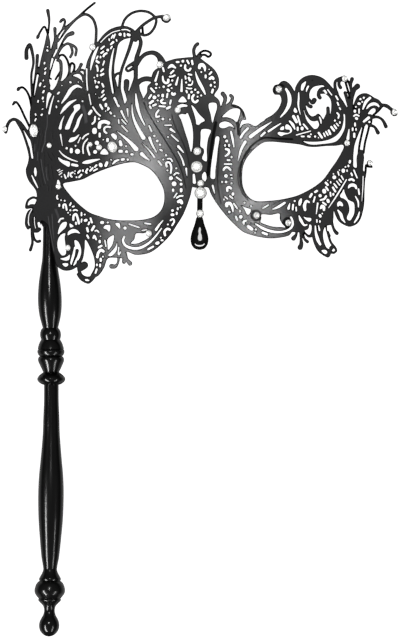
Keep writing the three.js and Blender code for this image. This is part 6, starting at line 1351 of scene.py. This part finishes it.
def stone_setter():
    """Geometry Nodes group that sets one cut stone on every point, facing the way of the sheet there."""
    group = bpy.data.node_groups.new("Set the stones", "GeometryNodeTree")
    for name, kind in STONE_SETTER_INPUTS.items():
        group.interface.new_socket(name, in_out="INPUT", socket_type="NodeSocket" + kind)
    group.interface.new_socket("Stones", in_out="OUTPUT", socket_type="NodeSocketGeometry")

    def node(kind, settings=None, **values):
        """A node with its settings, and with links or plain values on its inputs."""
        made = group.nodes.new(kind)
        for name, value in (settings or {}).items():
            setattr(made, name, value)
        for name, value in values.items():
            socket = made.inputs[name.replace("_", " ")]
            if isinstance(value, bpy.types.NodeSocket):
                group.links.new(value, socket)
            else:
                socket.default_value = value
        return made

    def attribute(name, kind):
        return node("GeometryNodeInputNamedAttribute", {"data_type": kind}, Name=name).outputs["Attribute"]

    entry = node("NodeGroupInput").outputs
    source = node("GeometryNodeObjectInfo", Object=entry["Cut stone"])
    out = attribute("facing", "FLOAT_VECTOR")
    facing = node("FunctionNodeAlignRotationToVector", {"axis": "Z"}, Vector=out)
    spin = node("FunctionNodeRandomValue", {"data_type": "FLOAT"}, Seed=entry["Seed"])
    spin.inputs[2].default_value = 0
    spin.inputs[3].default_value = LARGEST_TURN
    turn = node("FunctionNodeAxisAngleToRotation", Axis=(0, 0, 1), Angle=spin.outputs[1])
    both = node(
        "FunctionNodeRotateRotation", {"rotation_space": "LOCAL"},
        Rotation=facing.outputs["Rotation"], Rotate_By=turn.outputs["Rotation"])
    placed = node(
        "GeometryNodeInstanceOnPoints", Points=entry["Points"], Instance=source.outputs["Geometry"],
        Rotation=both.outputs["Rotation"], Scale=attribute("half_size", "FLOAT_VECTOR"))
    real = node("GeometryNodeRealizeInstances", Geometry=placed.outputs["Instances"])
    clear = node(
        "GeometryNodeSetMaterial", Geometry=real.outputs["Geometry"], Material=entry["Clear finish"])
    foil = node(
        "GeometryNodeSetMaterial", Geometry=clear.outputs["Geometry"],
        Selection=attribute("foil", "BOOLEAN"), Material=entry["Foil finish"])
    node("NodeGroupOutput", Stones=foil.outputs["Geometry"])
    return group


def run_nodes(piece, group, values):
    """Runs a Geometry Nodes group on a piece and keeps the result as its plain mesh."""
    modifier = piece.modifiers.new(group.name, "NODES")
    modifier.node_group = group
    for item in group.interface.items_tree:
        if item.item_type == "SOCKET" and item.in_out == "INPUT" and item.name in values:
            modifier[item.identifier] = values[item.name]
    bpy.context.view_layer.update()
    graph = bpy.context.evaluated_depsgraph_get()
    mesh = bpy.data.meshes.new_from_object(piece.evaluated_get(graph))
    piece.modifiers.remove(modifier)
    piece.data = mesh


def set_stones(name, rise, height_share, seed, clear, foil):
    """All the stones in one piece, each standing square to the sheet."""
    places = np.array(list(STONES.values()), float)
    x, y, w, h = places.T
    height = height_share * np.minimum(w, h)
    base = np.column_stack([x, y, face_height(x, y) + SHEET_THICKNESS + rise])
    mesh = bpy.data.meshes.new(name)
    mesh.from_pydata(((base + ORIGIN) * MM).tolist(), [], [])
    sizes = mesh.attributes.new("half_size", "FLOAT_VECTOR", "POINT")
    sizes.data.foreach_set("vector", (np.column_stack([w, h, height]) * MM).ravel())
    facing = mesh.attributes.new("facing", "FLOAT_VECTOR", "POINT")
    facing.data.foreach_set("vector", face_normal(x, y).ravel())
    piece = bpy.data.objects.new(name, mesh)
    bpy.context.scene.collection.objects.link(piece)
    template = cut_stone("cut stone")
    bpy.context.scene.collection.objects.link(template)
    values = {"Cut stone": template, "Clear finish": clear, "Foil finish": foil, "Seed": seed}
    run_nodes(piece, stone_setter(), values)
    bpy.data.objects.remove(template)
    for vertex in piece.data.vertices:
        vertex.co = within_solids(vertex.co)
    return piece


# Drop and stick


def domed_drop(name, rise):
    """The domed black drop at the tip of the nose, its underside flat on the sheet."""
    right = evenly_along(curve_points(DROP_PROFILE, False), DROP_OUTLINE_POINTS)
    ring = np.concatenate([right, right[::-1] * [-1, 1]])
    levels = 1 - np.linspace(0, DROP_TOP_SHARE, DROP_LEVELS) ** DROP_LEVEL_BUNCHING
    vertices = []
    for share in levels:
        height = (1 - share**DROP_SHOULDER) ** (1 / DROP_DOME)
        x = DROP_X + share * ring[:, 0]
        y = DROP_MIDDLE_Y + share * (ring[:, 1] - DROP_MIDDLE_Y)
        vertices.append(np.column_stack([x, y, np.full(len(ring), height)]))
    around = len(ring)
    vertices = np.concatenate(vertices + [[[DROP_X, DROP_MIDDLE_Y, 1]], [[DROP_X, DROP_MIDDLE_Y, 0]]])
    base = face_height(vertices[:, 0], vertices[:, 1]) + SHEET_THICKNESS + rise
    vertices[:, 2] = base + (DROP_HEIGHT + GAP - rise) * vertices[:, 2]
    faces = []
    for level in range(len(levels) - 1):
        for i in range(around):
            j = (i + 1) % around
            a, b = level * around, (level + 1) * around
            faces.append([a + j, a + i, b + i, b + j])
    top = (len(levels) - 1) * around
    for i in range(around):
        j = (i + 1) % around
        faces.append([len(vertices) - 2, top + j, top + i])
        faces.append([len(vertices) - 1, i, j])
    piece = new_piece(name, vertices, faces)
    piece.data.set_sharp_from_angle(angle=DROP_CREASE)
    return piece


def stick_x(y):
    """Middle of the turned wood, which is very slightly bowed."""
    foot = np.minimum(0, y - FOOT_BOW_TOP) / (FOOT_BOW_END - FOOT_BOW_TOP)
    head = smooth_step(y, HEAD_BOW_LOW, HEAD_BOW_HIGH)
    return STICK_X - FOOT_BOW * foot**2 - HEAD_BOW * head


def stick_lie():
    """Height of the middle of the ball, and how far the stick leans up to the felt."""
    ball_z = STICK_BALL_RADIUS - FLAT_DEPTH - ORIGIN[2]
    x = float(stick_x(STICK_GLUED_Y))
    slope = (face_height(x + 1, STICK_GLUED_Y) - face_height(x - 1, STICK_GLUED_Y)) / 2
    strip_under = face_height(x, STICK_GLUED_Y) - STRIP_GAP - STRIP_THICKNESS
    glued_z = strip_under - (STICK_GLUED_RADIUS + GAP) * math.sqrt(1 + slope**2)
    return ball_z, math.atan2(glued_z - ball_z, STICK_GLUED_Y - STICK_BALL_Y)


def turned_stick(name, sides, step):
    """The turned stick in one piece, from the tip behind the mask to the end ball."""
    floor = -ORIGIN[2]
    ball_z, lean = stick_lie()
    runs = [curve_points(run, False, step) for run in STICK_TURNINGS]
    profile = np.concatenate([runs[0], *[run[1:] for run in runs[1:]]])
    profile = profile[profile[:, 0] > STICK_END_RADIUS]
    around = np.arange(sides) * math.tau / sides
    radius, y = profile[:, :1], profile[:, 1:]
    across = radius * np.sin(around)
    depth = radius * np.cos(around)
    from_ball = y - STICK_BALL_Y
    along = from_ball * math.cos(lean) - depth * math.sin(lean) + STICK_BALL_Y
    height = from_ball * math.sin(lean) + depth * math.cos(lean) + ball_z
    vertices = np.stack([across + stick_x(along), along, np.maximum(height, floor)], axis=-1)
    rings = len(profile)
    vertices = vertices.reshape(-1, 3)
    faces = []
    for level in range(rings - 1):
        for i in range(sides):
            j = (i + 1) % sides
            a, b = level * sides, (level + 1) * sides
            faces.append([a + i, b + i, b + j, a + j])
    ends = []
    for level in (0, rings - 1):
        ends.append(vertices[level * sides : (level + 1) * sides].mean(axis=0))
    vertices = np.concatenate([vertices, ends])
    last = (rings - 1) * sides
    for i in range(sides):
        j = (i + 1) % sides
        faces.append([len(vertices) - 2, i, j])
        faces.append([len(vertices) - 1, last + j, last + i])
    piece = new_piece(name, vertices, faces)
    piece.data.set_sharp_from_angle(angle=STICK_CREASE)
    return piece


def trimmed_strip(name, across, along, side, top):
    """The felt strip, trimmed at its top and its inner side, with a slanting cut at its outer foot."""
    mesh = bmesh.new()
    mesh.from_mesh(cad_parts["backing_strip"].data)
    bmesh.ops.remove_doubles(mesh, verts=mesh.verts, dist=WELD)
    left = min(v.co.x for v in mesh.verts)
    right = max(v.co.x for v in mesh.verts)
    head = max(v.co.y for v in mesh.verts)
    foot = min(v.co.y for v in mesh.verts)
    cuts = [
        ((left, foot + along, 0), (-along, -across, 0)),
        ((right - side, foot, 0), (1, 0, 0)),
        ((left, head - top, 0), (0, 1, 0)),
    ]
    for place, away in cuts:
        cut = bmesh.ops.bisect_plane(
            mesh, geom=[*mesh.verts, *mesh.edges, *mesh.faces], dist=WELD,
            plane_co=place, plane_no=away, clear_outer=True)
        rim = [edge for edge in cut["geom_cut"] if isinstance(edge, bmesh.types.BMEdge)]
        bmesh.ops.triangle_fill(mesh, use_beauty=True, edges=rim)
    bmesh.ops.recalc_face_normals(mesh, faces=mesh.faces)
    strip = bpy.data.meshes.new(name)
    mesh.to_mesh(strip)
    mesh.free()
    piece = bpy.data.objects.new(name, strip)
    bpy.context.scene.collection.objects.link(piece)
    return piece


# Finishes


class Wire:
    """A number, colour or direction inside a material. A sum or a product of wires makes a Math node."""

    def __init__(self, tree, socket):
        self.tree = tree
        self.socket = socket

    def node(self, kind, output=0, settings=None, **inputs):
        """Adds any node. Its inputs are named, and hold wires or plain values."""
        return add_node(self.tree, kind, output, settings, **inputs)

    def maths(self, operation, *values):
        """A Math node's result."""
        node = self.tree.nodes.new("ShaderNodeMath")
        node.operation = operation
        for socket, value in zip(node.inputs, values):
            plug(self.tree, socket, value)
        return Wire(self.tree, node.outputs[0])

    def __add__(self, other):
        return self.maths("ADD", self, other)

    def __mul__(self, other):
        return self.maths("MULTIPLY", self, other)

    __radd__ = __add__
    __rmul__ = __mul__

    def ramp(self, low, high, new_low=0.0, new_high=1.0):
        """Moves the range low to high onto a new one, smoothly and within it."""
        settings = {"interpolation_type": "SMOOTHSTEP"}
        values = {"Value": self, "From Min": low, "From Max": high, "To Min": new_low, "To Max": new_high}
        return self.node("ShaderNodeMapRange", "Result", settings, **values)

    def blend(self, one, other):
        """A colour between two, by this share."""
        node = self.tree.nodes.new("ShaderNodeMix")
        node.data_type = "RGBA"
        plug(self.tree, node.inputs["Factor"], self)
        plug(self.tree, node.inputs[6], one)
        plug(self.tree, node.inputs[7], other)
        return Wire(self.tree, node.outputs[2])

    def tint(self, colour, factor):
        """From a colour to that colour times a factor, by this share."""
        return self.blend(tuple(colour), tuple(c * factor for c in colour))

    def scaled(self, size):
        """A direction or place times a size for each axis."""
        node = self.tree.nodes.new("ShaderNodeVectorMath")
        node.operation = "MULTIPLY"
        plug(self.tree, node.inputs[0], self)
        node.inputs[1].default_value = size
        return Wire(self.tree, node.outputs[0])


def plug(tree, socket, value):
    """Links a wire to a socket, or sets the socket to a plain value."""
    if isinstance(value, Wire):
        tree.links.new(value.socket, socket)
    elif hasattr(socket.default_value, "__len__") and len(value) == 3 and len(socket.default_value) == 4:
        socket.default_value = (*value, 1)
    else:
        socket.default_value = value


def add_node(tree, kind, output=0, settings=None, **inputs):
    """Adds a node with its settings and inputs, and gives a wire from one output."""
    node = tree.nodes.new(kind)
    for name, value in (settings or {}).items():
        setattr(node, name, value)
    for name, value in inputs.items():
        plug(tree, node.inputs[name], value)
    return Wire(tree, node.outputs[output])


def new_finish(name):
    """An empty material with a principled shader, and a wire with the place on the object."""
    material = bpy.data.materials.new(name)
    material.use_nodes = True
    tree = material.node_tree
    tree.nodes.clear()
    shader = tree.nodes.new("ShaderNodeBsdfPrincipled")
    leave = tree.nodes.new("ShaderNodeOutputMaterial")
    tree.links.new(shader.outputs[0], leave.inputs["Surface"])
    place = add_node(tree, "ShaderNodeTexCoord", "Object")
    return material, tree, shader, place


def noise(place, scale, detail=2.0, roughness=0.5):
    """Clouds from 0 to 1, this many to the metre."""
    return place.node(
        "ShaderNodeTexNoise", "Fac", Vector=place, Scale=scale, Detail=detail, Roughness=roughness)


def bump(height, strength, distance):
    """A bumpy direction for a shader, its bumps this deep in metres."""
    return height.node("ShaderNodeBump", "Normal", Height=height, Strength=strength, Distance=distance)


def satin_metal(colour, roughness):
    """Black painted metal with a fine orange peel, its cut edges darker and duller. Its grooves get
    painted shade, and its beads and lighter strokes get painted highlights.
    """
    material, tree, shader, place = new_finish("satin black metal")
    cloud = noise(place, scale=60, detail=3)
    grain = noise(place, scale=2600)
    patches = cloud.ramp(0.3, 0.7)
    edge = add_node(tree, "ShaderNodeAttribute", "Fac", {"attribute_name": "edge"}).ramp(0.0, 0.45)
    shade = add_node(tree, "ShaderNodeAttribute", "Fac", {"attribute_name": "shade"})
    # Painted highlight: a lighter base colour where the shade attribute is below 0, on the beads and the
    # lighter strokes.
    painted_highlight = (shade * -1).ramp(0.0, 1.0)
    highlight_colour = tuple(c * 7 for c in colour)
    plug(tree, shader.inputs["Base Color"], painted_highlight.blend(patches.tint(colour, 1.25), highlight_colour))
    plug(tree, shader.inputs["Roughness"], cloud.ramp(0.3, 0.7, roughness - 0.04, roughness + 0.05))
    plug(tree, shader.inputs["Normal"], bump(grain, strength=0.12, distance=0.05 * MM))

    # The dark shader also paints shade into the grooves and blackens the deep black strokes, as the shade
    # attribute says.
    dark = tree.nodes.new("ShaderNodeBsdfPrincipled")
    plug(tree, dark.inputs["Base Color"], cloud.tint([c * 0.1 for c in colour], 2))
    plug(tree, dark.inputs["Roughness"], cloud.ramp(0.3, 0.7, 0.5, 0.6))
    dark.inputs["Specular IOR Level"].default_value = 0.05
    surface = shader.outputs[0].links[0].to_socket
    mix = tree.nodes.new("ShaderNodeMixShader")
    plug(tree, mix.inputs[0], edge.maths("MAXIMUM", edge * 0.85, shade).ramp(0.0, 1.0, 0.0, 0.97))
    tree.links.new(shader.outputs[0], mix.inputs[1])
    tree.links.new(dark.outputs[0], mix.inputs[2])
    tree.links.new(mix.outputs[0], surface)
    return material


def black_gloss(name, colour, roughness, waviness):
    """Deep black gloss with faint unevenness."""
    material, tree, shader, place = new_finish(name)
    cloud = noise(place, scale=45)
    plug(tree, shader.inputs["Roughness"], cloud.ramp(0.3, 0.7, roughness, roughness + 0.05))
    plug(tree, shader.inputs["Normal"], bump(cloud, waviness, distance=0.2 * MM))
    plug(tree, shader.inputs["Base Color"], cloud.ramp(0.3, 0.7).tint(colour, 1.4))
    shader.inputs["Specular IOR Level"].default_value = 0.14
    return material


def clear_stone(colour):
    """Clear glass with a trace of haze."""
    material, tree, shader, place = new_finish("clear stone")
    haze = noise(place, scale=900, detail=1)
    plug(tree, shader.inputs["Roughness"], haze.ramp(0.4, 0.7, 0.0, 0.03))
    shader.inputs["Base Color"].default_value = (*colour, 1)
    shader.inputs["Transmission Weight"].default_value = 0.75
    shader.inputs["IOR"].default_value = 1.54
    return material


def stone_foil(colour):
    """Silver foil, a little tarnished."""
    material, tree, shader, place = new_finish("silver foil")
    tarnish = noise(place, scale=700)
    plug(tree, shader.inputs["Base Color"], tarnish.ramp(0.35, 0.7).tint(colour, 0.8))
    plug(tree, shader.inputs["Roughness"], tarnish.ramp(0.3, 0.7, 0.2, 0.35))
    shader.inputs["Metallic"].default_value = 1.0
    return material


def black_felt(colour):
    """Matted black fibres that lie along the strip."""
    material, tree, shader, place = new_finish("black felt")
    fibres = noise(place.scaled((1, 0.35, 1)), scale=3200, detail=4, roughness=0.7)
    clumps = noise(place, scale=400)
    matted = (fibres * 0.6 + clumps * 0.4).ramp(0.3, 0.7)
    plug(tree, shader.inputs["Base Color"], matted.tint(colour, 2.2))
    plug(tree, shader.inputs["Normal"], bump(fibres + clumps, strength=0.6, distance=0.2 * MM))
    shader.inputs["Roughness"].default_value = 0.95
    shader.inputs["Sheen Weight"].default_value = 0.3
    return material


def studio_floor(colour, glow):
    """White paper with light behind it."""
    material, tree, shader, place = new_finish("white paper floor")
    shade = noise(place, scale=3, detail=1)
    plug(tree, shader.inputs["Base Color"], shade.tint(colour, 0.995))
    shader.inputs["Roughness"].default_value = 0.9
    shader.inputs["Emission Color"].default_value = (1, 1, 1, 1)
    shader.inputs["Emission Strength"].default_value = glow
    return material


def dress(piece, material):
    piece.data.materials.clear()
    piece.data.materials.append(material)


# Settings


def length_setting(name, description, default):
    """A setting in metres."""
    return FloatProperty(
        name=name, description=description, default=default, unit="LENGTH", precision=5)


def share_setting(name, description, default):
    return FloatProperty(
        name=name, description=description, default=default, min=0, max=1, subtype="FACTOR")


def colour_setting(name, description, default):
    return FloatVectorProperty(
        name=name, description=description, default=default, subtype="COLOR", min=0, max=1)


class SheetSettings(PropertyGroup):
    grid: length_setting("Drawing grid", "Spacing of the grid that the outlines are read from", 0.12 * MM)
    edge_width: length_setting("Edge width", "Width of the rounded upper edge of every opening", 0.5 * MM)
    edge_drop: length_setting("Edge drop", "How far the rounded edge falls below the face", 0.3 * MM)
    colour: colour_setting("Metal colour", "Colour of the painted metal", (0.018, 0.018, 0.019))
    roughness: share_setting("Metal roughness", "Roughness of the satin paint", 0.46)


class StoneSettings(PropertyGroup):
    rise: length_setting("Seat gap", "Gap between the sheet and the tip of each stone", 0.06 * MM)
    height_share: FloatProperty(
        name="Height", description="Height of a stone as a share of its half width",
        default=0.95, min=0.2, max=1.2)
    seed: IntProperty(name="Seed", description="Seed of the stones' turns", default=4)
    clear: colour_setting("Stone colour", "Colour of the clear stones", (0.98, 0.98, 0.97))
    foil: colour_setting("Foil colour", "Colour of the foil under the stones", (0.9, 0.9, 0.89))


class DropSettings(PropertyGroup):
    rise: length_setting("Seat gap", "Gap between the sheet and the drop", 0.08 * MM)
    colour: colour_setting("Drop colour", "Colour of the black drop", (0.0002, 0.0002, 0.0002))
    roughness: share_setting("Drop roughness", "Roughness of the polished drop", 0.03)


class StickSettings(PropertyGroup):
    sides: IntProperty(name="Sides", description="Sides of the turned stick", default=72, min=12)
    step: length_setting("Profile step", "Length of one step along the turned profile", 0.4 * MM)
    colour: colour_setting("Lacquer colour", "Colour of the black lacquer", (0.0005, 0.0005, 0.0005))
    roughness: share_setting("Lacquer roughness", "Roughness of the black lacquer", 0.16)
    waviness: share_setting("Lacquer waviness", "Strength of the lacquer's faint unevenness", 0.006)


class StripSettings(PropertyGroup):
    trim_across: length_setting("Trim across", "Width of the corner cut off at the outer foot", 2.4 * MM)
    trim_along: length_setting("Trim along", "Length of the corner cut off at the outer foot", 4.6 * MM)
    trim_side: length_setting("Trim at the side", "Width cut off the strip's inner side", 0.5 * MM)
    trim_top: length_setting("Trim at the top", "Length cut off the strip's upper end", 1.3 * MM)
    colour: colour_setting("Felt colour", "Colour of the felt strip", (0.008, 0.008, 0.009))


class StageSettings(PropertyGroup):
    floor_size: length_setting("Floor size", "Width of the square floor", 6.0)
    floor_colour: colour_setting("Floor colour", "Colour of the pale floor", (0.95, 0.95, 0.95))
    floor_glow: FloatProperty(
        name="Floor glow", description="Light that comes through the white paper", default=1.0)
    room: FloatProperty(name="Room light", description="Brightness of the room overhead", default=0.45)
    room_low: FloatProperty(
        name="Low room light", description="Brightness of the room at the floor", default=0.12)
    camera_height: length_setting("Camera height", "Height of the camera over the floor", 8.0)
    frame_height: length_setting("Frame height", "Length of floor that the picture shows", 0.319)
    centre_x: length_setting("Centre across", "Where the picture's middle lies across the part", 0.06 * MM)
    centre_y: length_setting("Centre along", "Where the picture's middle lies along the part", 0.26 * MM)


# Operators


class MASK_OT_sheet(Operator):
    """Build the pierced and bent metal sheet"""

    bl_idname = "mask.sheet"
    bl_label = "Pierced sheet"

    def execute(self, context):
        settings = context.scene.mask_sheet
        piece = pierced_sheet(
            "mask_sheet", settings.grid / MM, settings.edge_width / MM, settings.edge_drop / MM)
        dress(piece, satin_metal(settings.colour, settings.roughness))
        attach(piece, "root")
        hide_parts("filigree_mask")
        return {"FINISHED"}


class MASK_OT_stones(Operator):
    """Set the clear stones on the sheet"""

    bl_idname = "mask.stones"
    bl_label = "Stones"

    def execute(self, context):
        settings = context.scene.mask_stones
        piece = set_stones(
            "set_stones", settings.rise / MM, settings.height_share, settings.seed,
            clear_stone(settings.clear), stone_foil(settings.foil))
        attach(piece, "root")
        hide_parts(*STONES)
        return {"FINISHED"}


class MASK_OT_drop(Operator):
    """Build the domed black drop"""

    bl_idname = "mask.drop"
    bl_label = "Drop"

    def execute(self, context):
        settings = context.scene.mask_drop
        piece = domed_drop("black_drop", settings.rise / MM)
        dress(piece, black_gloss("black drop gloss", settings.colour, settings.roughness, waviness=0))
        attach(piece, "root")
        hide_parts("teardrop")
        return {"FINISHED"}


class MASK_OT_stick(Operator):
    """Turn the lacquered stick"""

    bl_idname = "mask.stick"
    bl_label = "Stick"

    def execute(self, context):
        settings = context.scene.mask_stick
        piece = turned_stick("turned_stick", settings.sides, settings.step / MM)
        lacquer = black_gloss("black lacquer", settings.colour, settings.roughness, settings.waviness)
        dress(piece, lacquer)
        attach(piece, "root")
        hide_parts("handle")
        return {"FINISHED"}


class MASK_OT_strip(Operator):
    """Cut the felt strip, trimmed at its top, its inner side and its outer foot"""

    bl_idname = "mask.strip"
    bl_label = "Felt strip"

    def execute(self, context):
        settings = context.scene.mask_strip
        piece = trimmed_strip(
            "felt_strip", settings.trim_across, settings.trim_along, settings.trim_side, settings.trim_top)
        dress(piece, black_felt(settings.colour))
        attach(piece, "root")
        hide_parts("backing_strip")
        return {"FINISHED"}


def studio_room(scene, high, low):
    """A white room, brighter overhead than at the height of the floor."""
    world = bpy.data.worlds.new("studio room")
    world.use_nodes = True
    tree = world.node_tree
    background = tree.nodes["Background"]
    background.inputs["Color"].default_value = (1, 1, 1, 1)
    way = add_node(tree, "ShaderNodeTexCoord", "Generated")
    up = add_node(tree, "ShaderNodeSeparateXYZ", "Z", Vector=way)
    plug(tree, background.inputs["Strength"], up.ramp(0.0, 0.75, low, high))
    scene.world = world


# Soft beams on the face: name, place across and along, width, height, how far aside they come from, power.
BEAMS = [
    ("left beam", -0.0237, 0.0835, 0.0295, 0.05, -0.206, 0.0051),
    ("low left beam", -0.0355, 0.0385, 0.019, 0.0425, -0.206, 0.0024),
    ("right beam", 0.0178, 0.086, 0.018, 0.052, 0.206, 0.0039),
    ("low right beam", 0.0206, 0.0485, 0.028, 0.027, 0.206, 0.0032),
    ("plume beam", -0.0765, 0.1365, 0.021, 0.036, -0.33, 0.0008),
]
BEAM_HEIGHT = 0.31
BEAM_AIM_HEIGHT = 0.027
BEAM_SPREAD = 4
WIDE_SPREAD = 180

# Lamps that each light one piece: name, piece, place, aim, size across and up, power.
# The floor glows are the light that the paper throws back on the stick's sides.
DARK_LAMPS = [
    ("left strip", "turned_stick", (-1.0, -0.95, 0.9), (-0.07, -0.1, 0), (0.21, 1.9), 120),
    ("right strip", "turned_stick", (0.85, -1.0, 0.9), (-0.07, -0.1, 0), (0.12, 1.5), 28),
    ("left floor glow", "turned_stick", (-0.5, -0.1, -0.3), (-0.07, -0.1, 0.01), (0.5, 1.2), 1.6),
    ("right floor glow", "turned_stick", (0.36, -0.1, -0.3), (-0.07, -0.1, 0.01), (0.5, 1.2), 1.6),
    ("top strip", "turned_stick", (-0.12, 0.26, 1.0), (-0.07, 0.0, 0), (0.06, 0.14), 6),
    ("drop light", "black_drop", (0, 0.05, 1.2), (0, 0.04, 0), (0.9, 0.65), 90),
    ("low drop light", "black_drop", (0, -0.95, 0.8), (0, 0.04, 0), (3.2, 0.3), 240),
]
BRIGHT_LAMPS = [
    ("stone light", "set_stones", (-0.1, 0.3, 1.2), (0, 0.06, 0), (0.8, 0.8), 18),
    ("side stone light", "set_stones", (-0.9, 0.15, 1.0), (-0.04, 0.08, 0), (0.7, 0.7), 16),
    ("overhead light", "mask_sheet", (0, 0.1, 1.5), (0, 0.03, 0), (1.0, 0.7), 4),
]
OVAL_LAMPS = ["drop light"]
LIT_PIECES = ["turned_stick", "black_drop", "mask_sheet", "set_stones"]

FLOOR_HEIGHT = -0.2 * MM
SENSOR_WIDTH = 36
FARTHEST_SEEN = 100


def lit_alone(piece):
    """A collection of one piece, for the lamps that light it alone."""
    collection = bpy.data.collections.new(piece + " alone")
    collection.objects.link(bpy.data.objects[piece])
    return collection


def soft_light(name, alone, place, aim, size, power, spread=WIDE_SPREAD):
    """A soft lamp that lights one piece alone. The floor doesn't block a lamp that is under it."""
    data = bpy.data.lights.new(name, "AREA")
    data.shape = "ELLIPSE" if name in OVAL_LAMPS else "RECTANGLE"
    data.size, data.size_y = size
    data.energy = power
    data.spread = math.radians(spread)
    light = bpy.data.objects.new(name, data)
    light.location = place
    back = (Vector(place) - Vector(aim)).normalized()
    across = Vector((0, 1, 0)).cross(back).normalized()
    light.rotation_euler = Matrix((across, back.cross(across), back)).transposed().to_euler()
    bpy.context.scene.collection.objects.link(light)
    light.light_linking.receiver_collection = alone
    if place[2] < 0:
        light.light_linking.blocker_collection = alone


def flat_floor(size):
    """A square sheet of paper a hair below the part."""
    half = size / 2
    corners = [(-half, -half), (half, -half), (half, half), (-half, half)]
    mesh = bpy.data.meshes.new("floor")
    mesh.from_pydata([(x, y, FLOOR_HEIGHT) for x, y in corners], [], [(0, 1, 2, 3)])
    floor = bpy.data.objects.new("floor", mesh)
    bpy.context.scene.collection.objects.link(floor)
    floor.visible_glossy = False
    return floor


class MASK_OT_stage(Operator):
    """Lay out the pale floor, the soft lights and the camera that looks straight down"""

    bl_idname = "mask.stage"
    bl_label = "Stage"

    def execute(self, context):
        settings = context.scene.mask_stage
        floor = flat_floor(settings.floor_size)
        dress(floor, studio_floor(settings.floor_colour, settings.floor_glow))

        alone = {piece: lit_alone(piece) for piece in LIT_PIECES}
        for name, piece, place, aim, size, power in DARK_LAMPS:
            soft_light(name, alone[piece], place, aim, size, power)
        for name, x, y, width, height, aside, power in BEAMS:
            place, aim = (x + aside, y, BEAM_HEIGHT), (x, y, BEAM_AIM_HEIGHT)
            soft_light(name, alone["mask_sheet"], place, aim, (width, height), power, BEAM_SPREAD)
        for name, piece, place, aim, size, power in BRIGHT_LAMPS:
            soft_light(name, alone[piece], place, aim, size, power)
        studio_room(context.scene, settings.room, settings.room_low)
        context.scene.view_settings.view_transform = "Standard"

        data = bpy.data.cameras.new("camera")
        data.sensor_width = SENSOR_WIDTH
        data.lens = SENSOR_WIDTH * settings.camera_height / settings.frame_height
        data.clip_end = FARTHEST_SEEN
        camera = bpy.data.objects.new("camera", data)
        camera.location = (settings.centre_x, settings.centre_y, settings.camera_height)
        context.scene.collection.objects.link(camera)
        context.scene.camera = camera
        return {"FINISHED"}


class MASK_PT_panel(Panel):
    """Lists the pieces of the mask in the sidebar"""

    bl_label = "Filigree stick mask"
    bl_idname = "MASK_PT_panel"
    bl_space_type = "VIEW_3D"
    bl_region_type = "UI"
    bl_category = "Mask"

    def draw(self, context):
        for name, (settings, operator) in PIECES.items():
            box = self.layout.box()
            box.operator(operator.bl_idname)
            for prop in settings.__annotations__:
                box.prop(getattr(context.scene, "mask_" + name), prop)


# The settings and the operator of each piece and of the stage
PIECES = {
    "sheet": (SheetSettings, MASK_OT_sheet),
    "stones": (StoneSettings, MASK_OT_stones),
    "drop": (DropSettings, MASK_OT_drop),
    "stick": (StickSettings, MASK_OT_stick),
    "strip": (StripSettings, MASK_OT_strip),
    "stage": (StageSettings, MASK_OT_stage),
}


def register():
    for name, (settings, operator) in PIECES.items():
        bpy.utils.register_class(settings)
        setattr(bpy.types.Scene, "mask_" + name, PointerProperty(type=settings))
        bpy.utils.register_class(operator)
    bpy.utils.register_class(MASK_PT_panel)


def unregister():
    bpy.utils.unregister_class(MASK_PT_panel)
    for name, (settings, operator) in reversed(PIECES.items()):
        bpy.utils.unregister_class(operator)
        delattr(bpy.types.Scene, "mask_" + name)
        bpy.utils.unregister_class(settings)


def main():
    """Registers the add-on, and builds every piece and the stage."""
    register()
    bpy.ops.mask.sheet()
    bpy.ops.mask.stones()
    bpy.ops.mask.drop()
    bpy.ops.mask.strip()
    bpy.ops.mask.stick()
    bpy.ops.mask.stage()


if __name__ == "__main__":
    main()
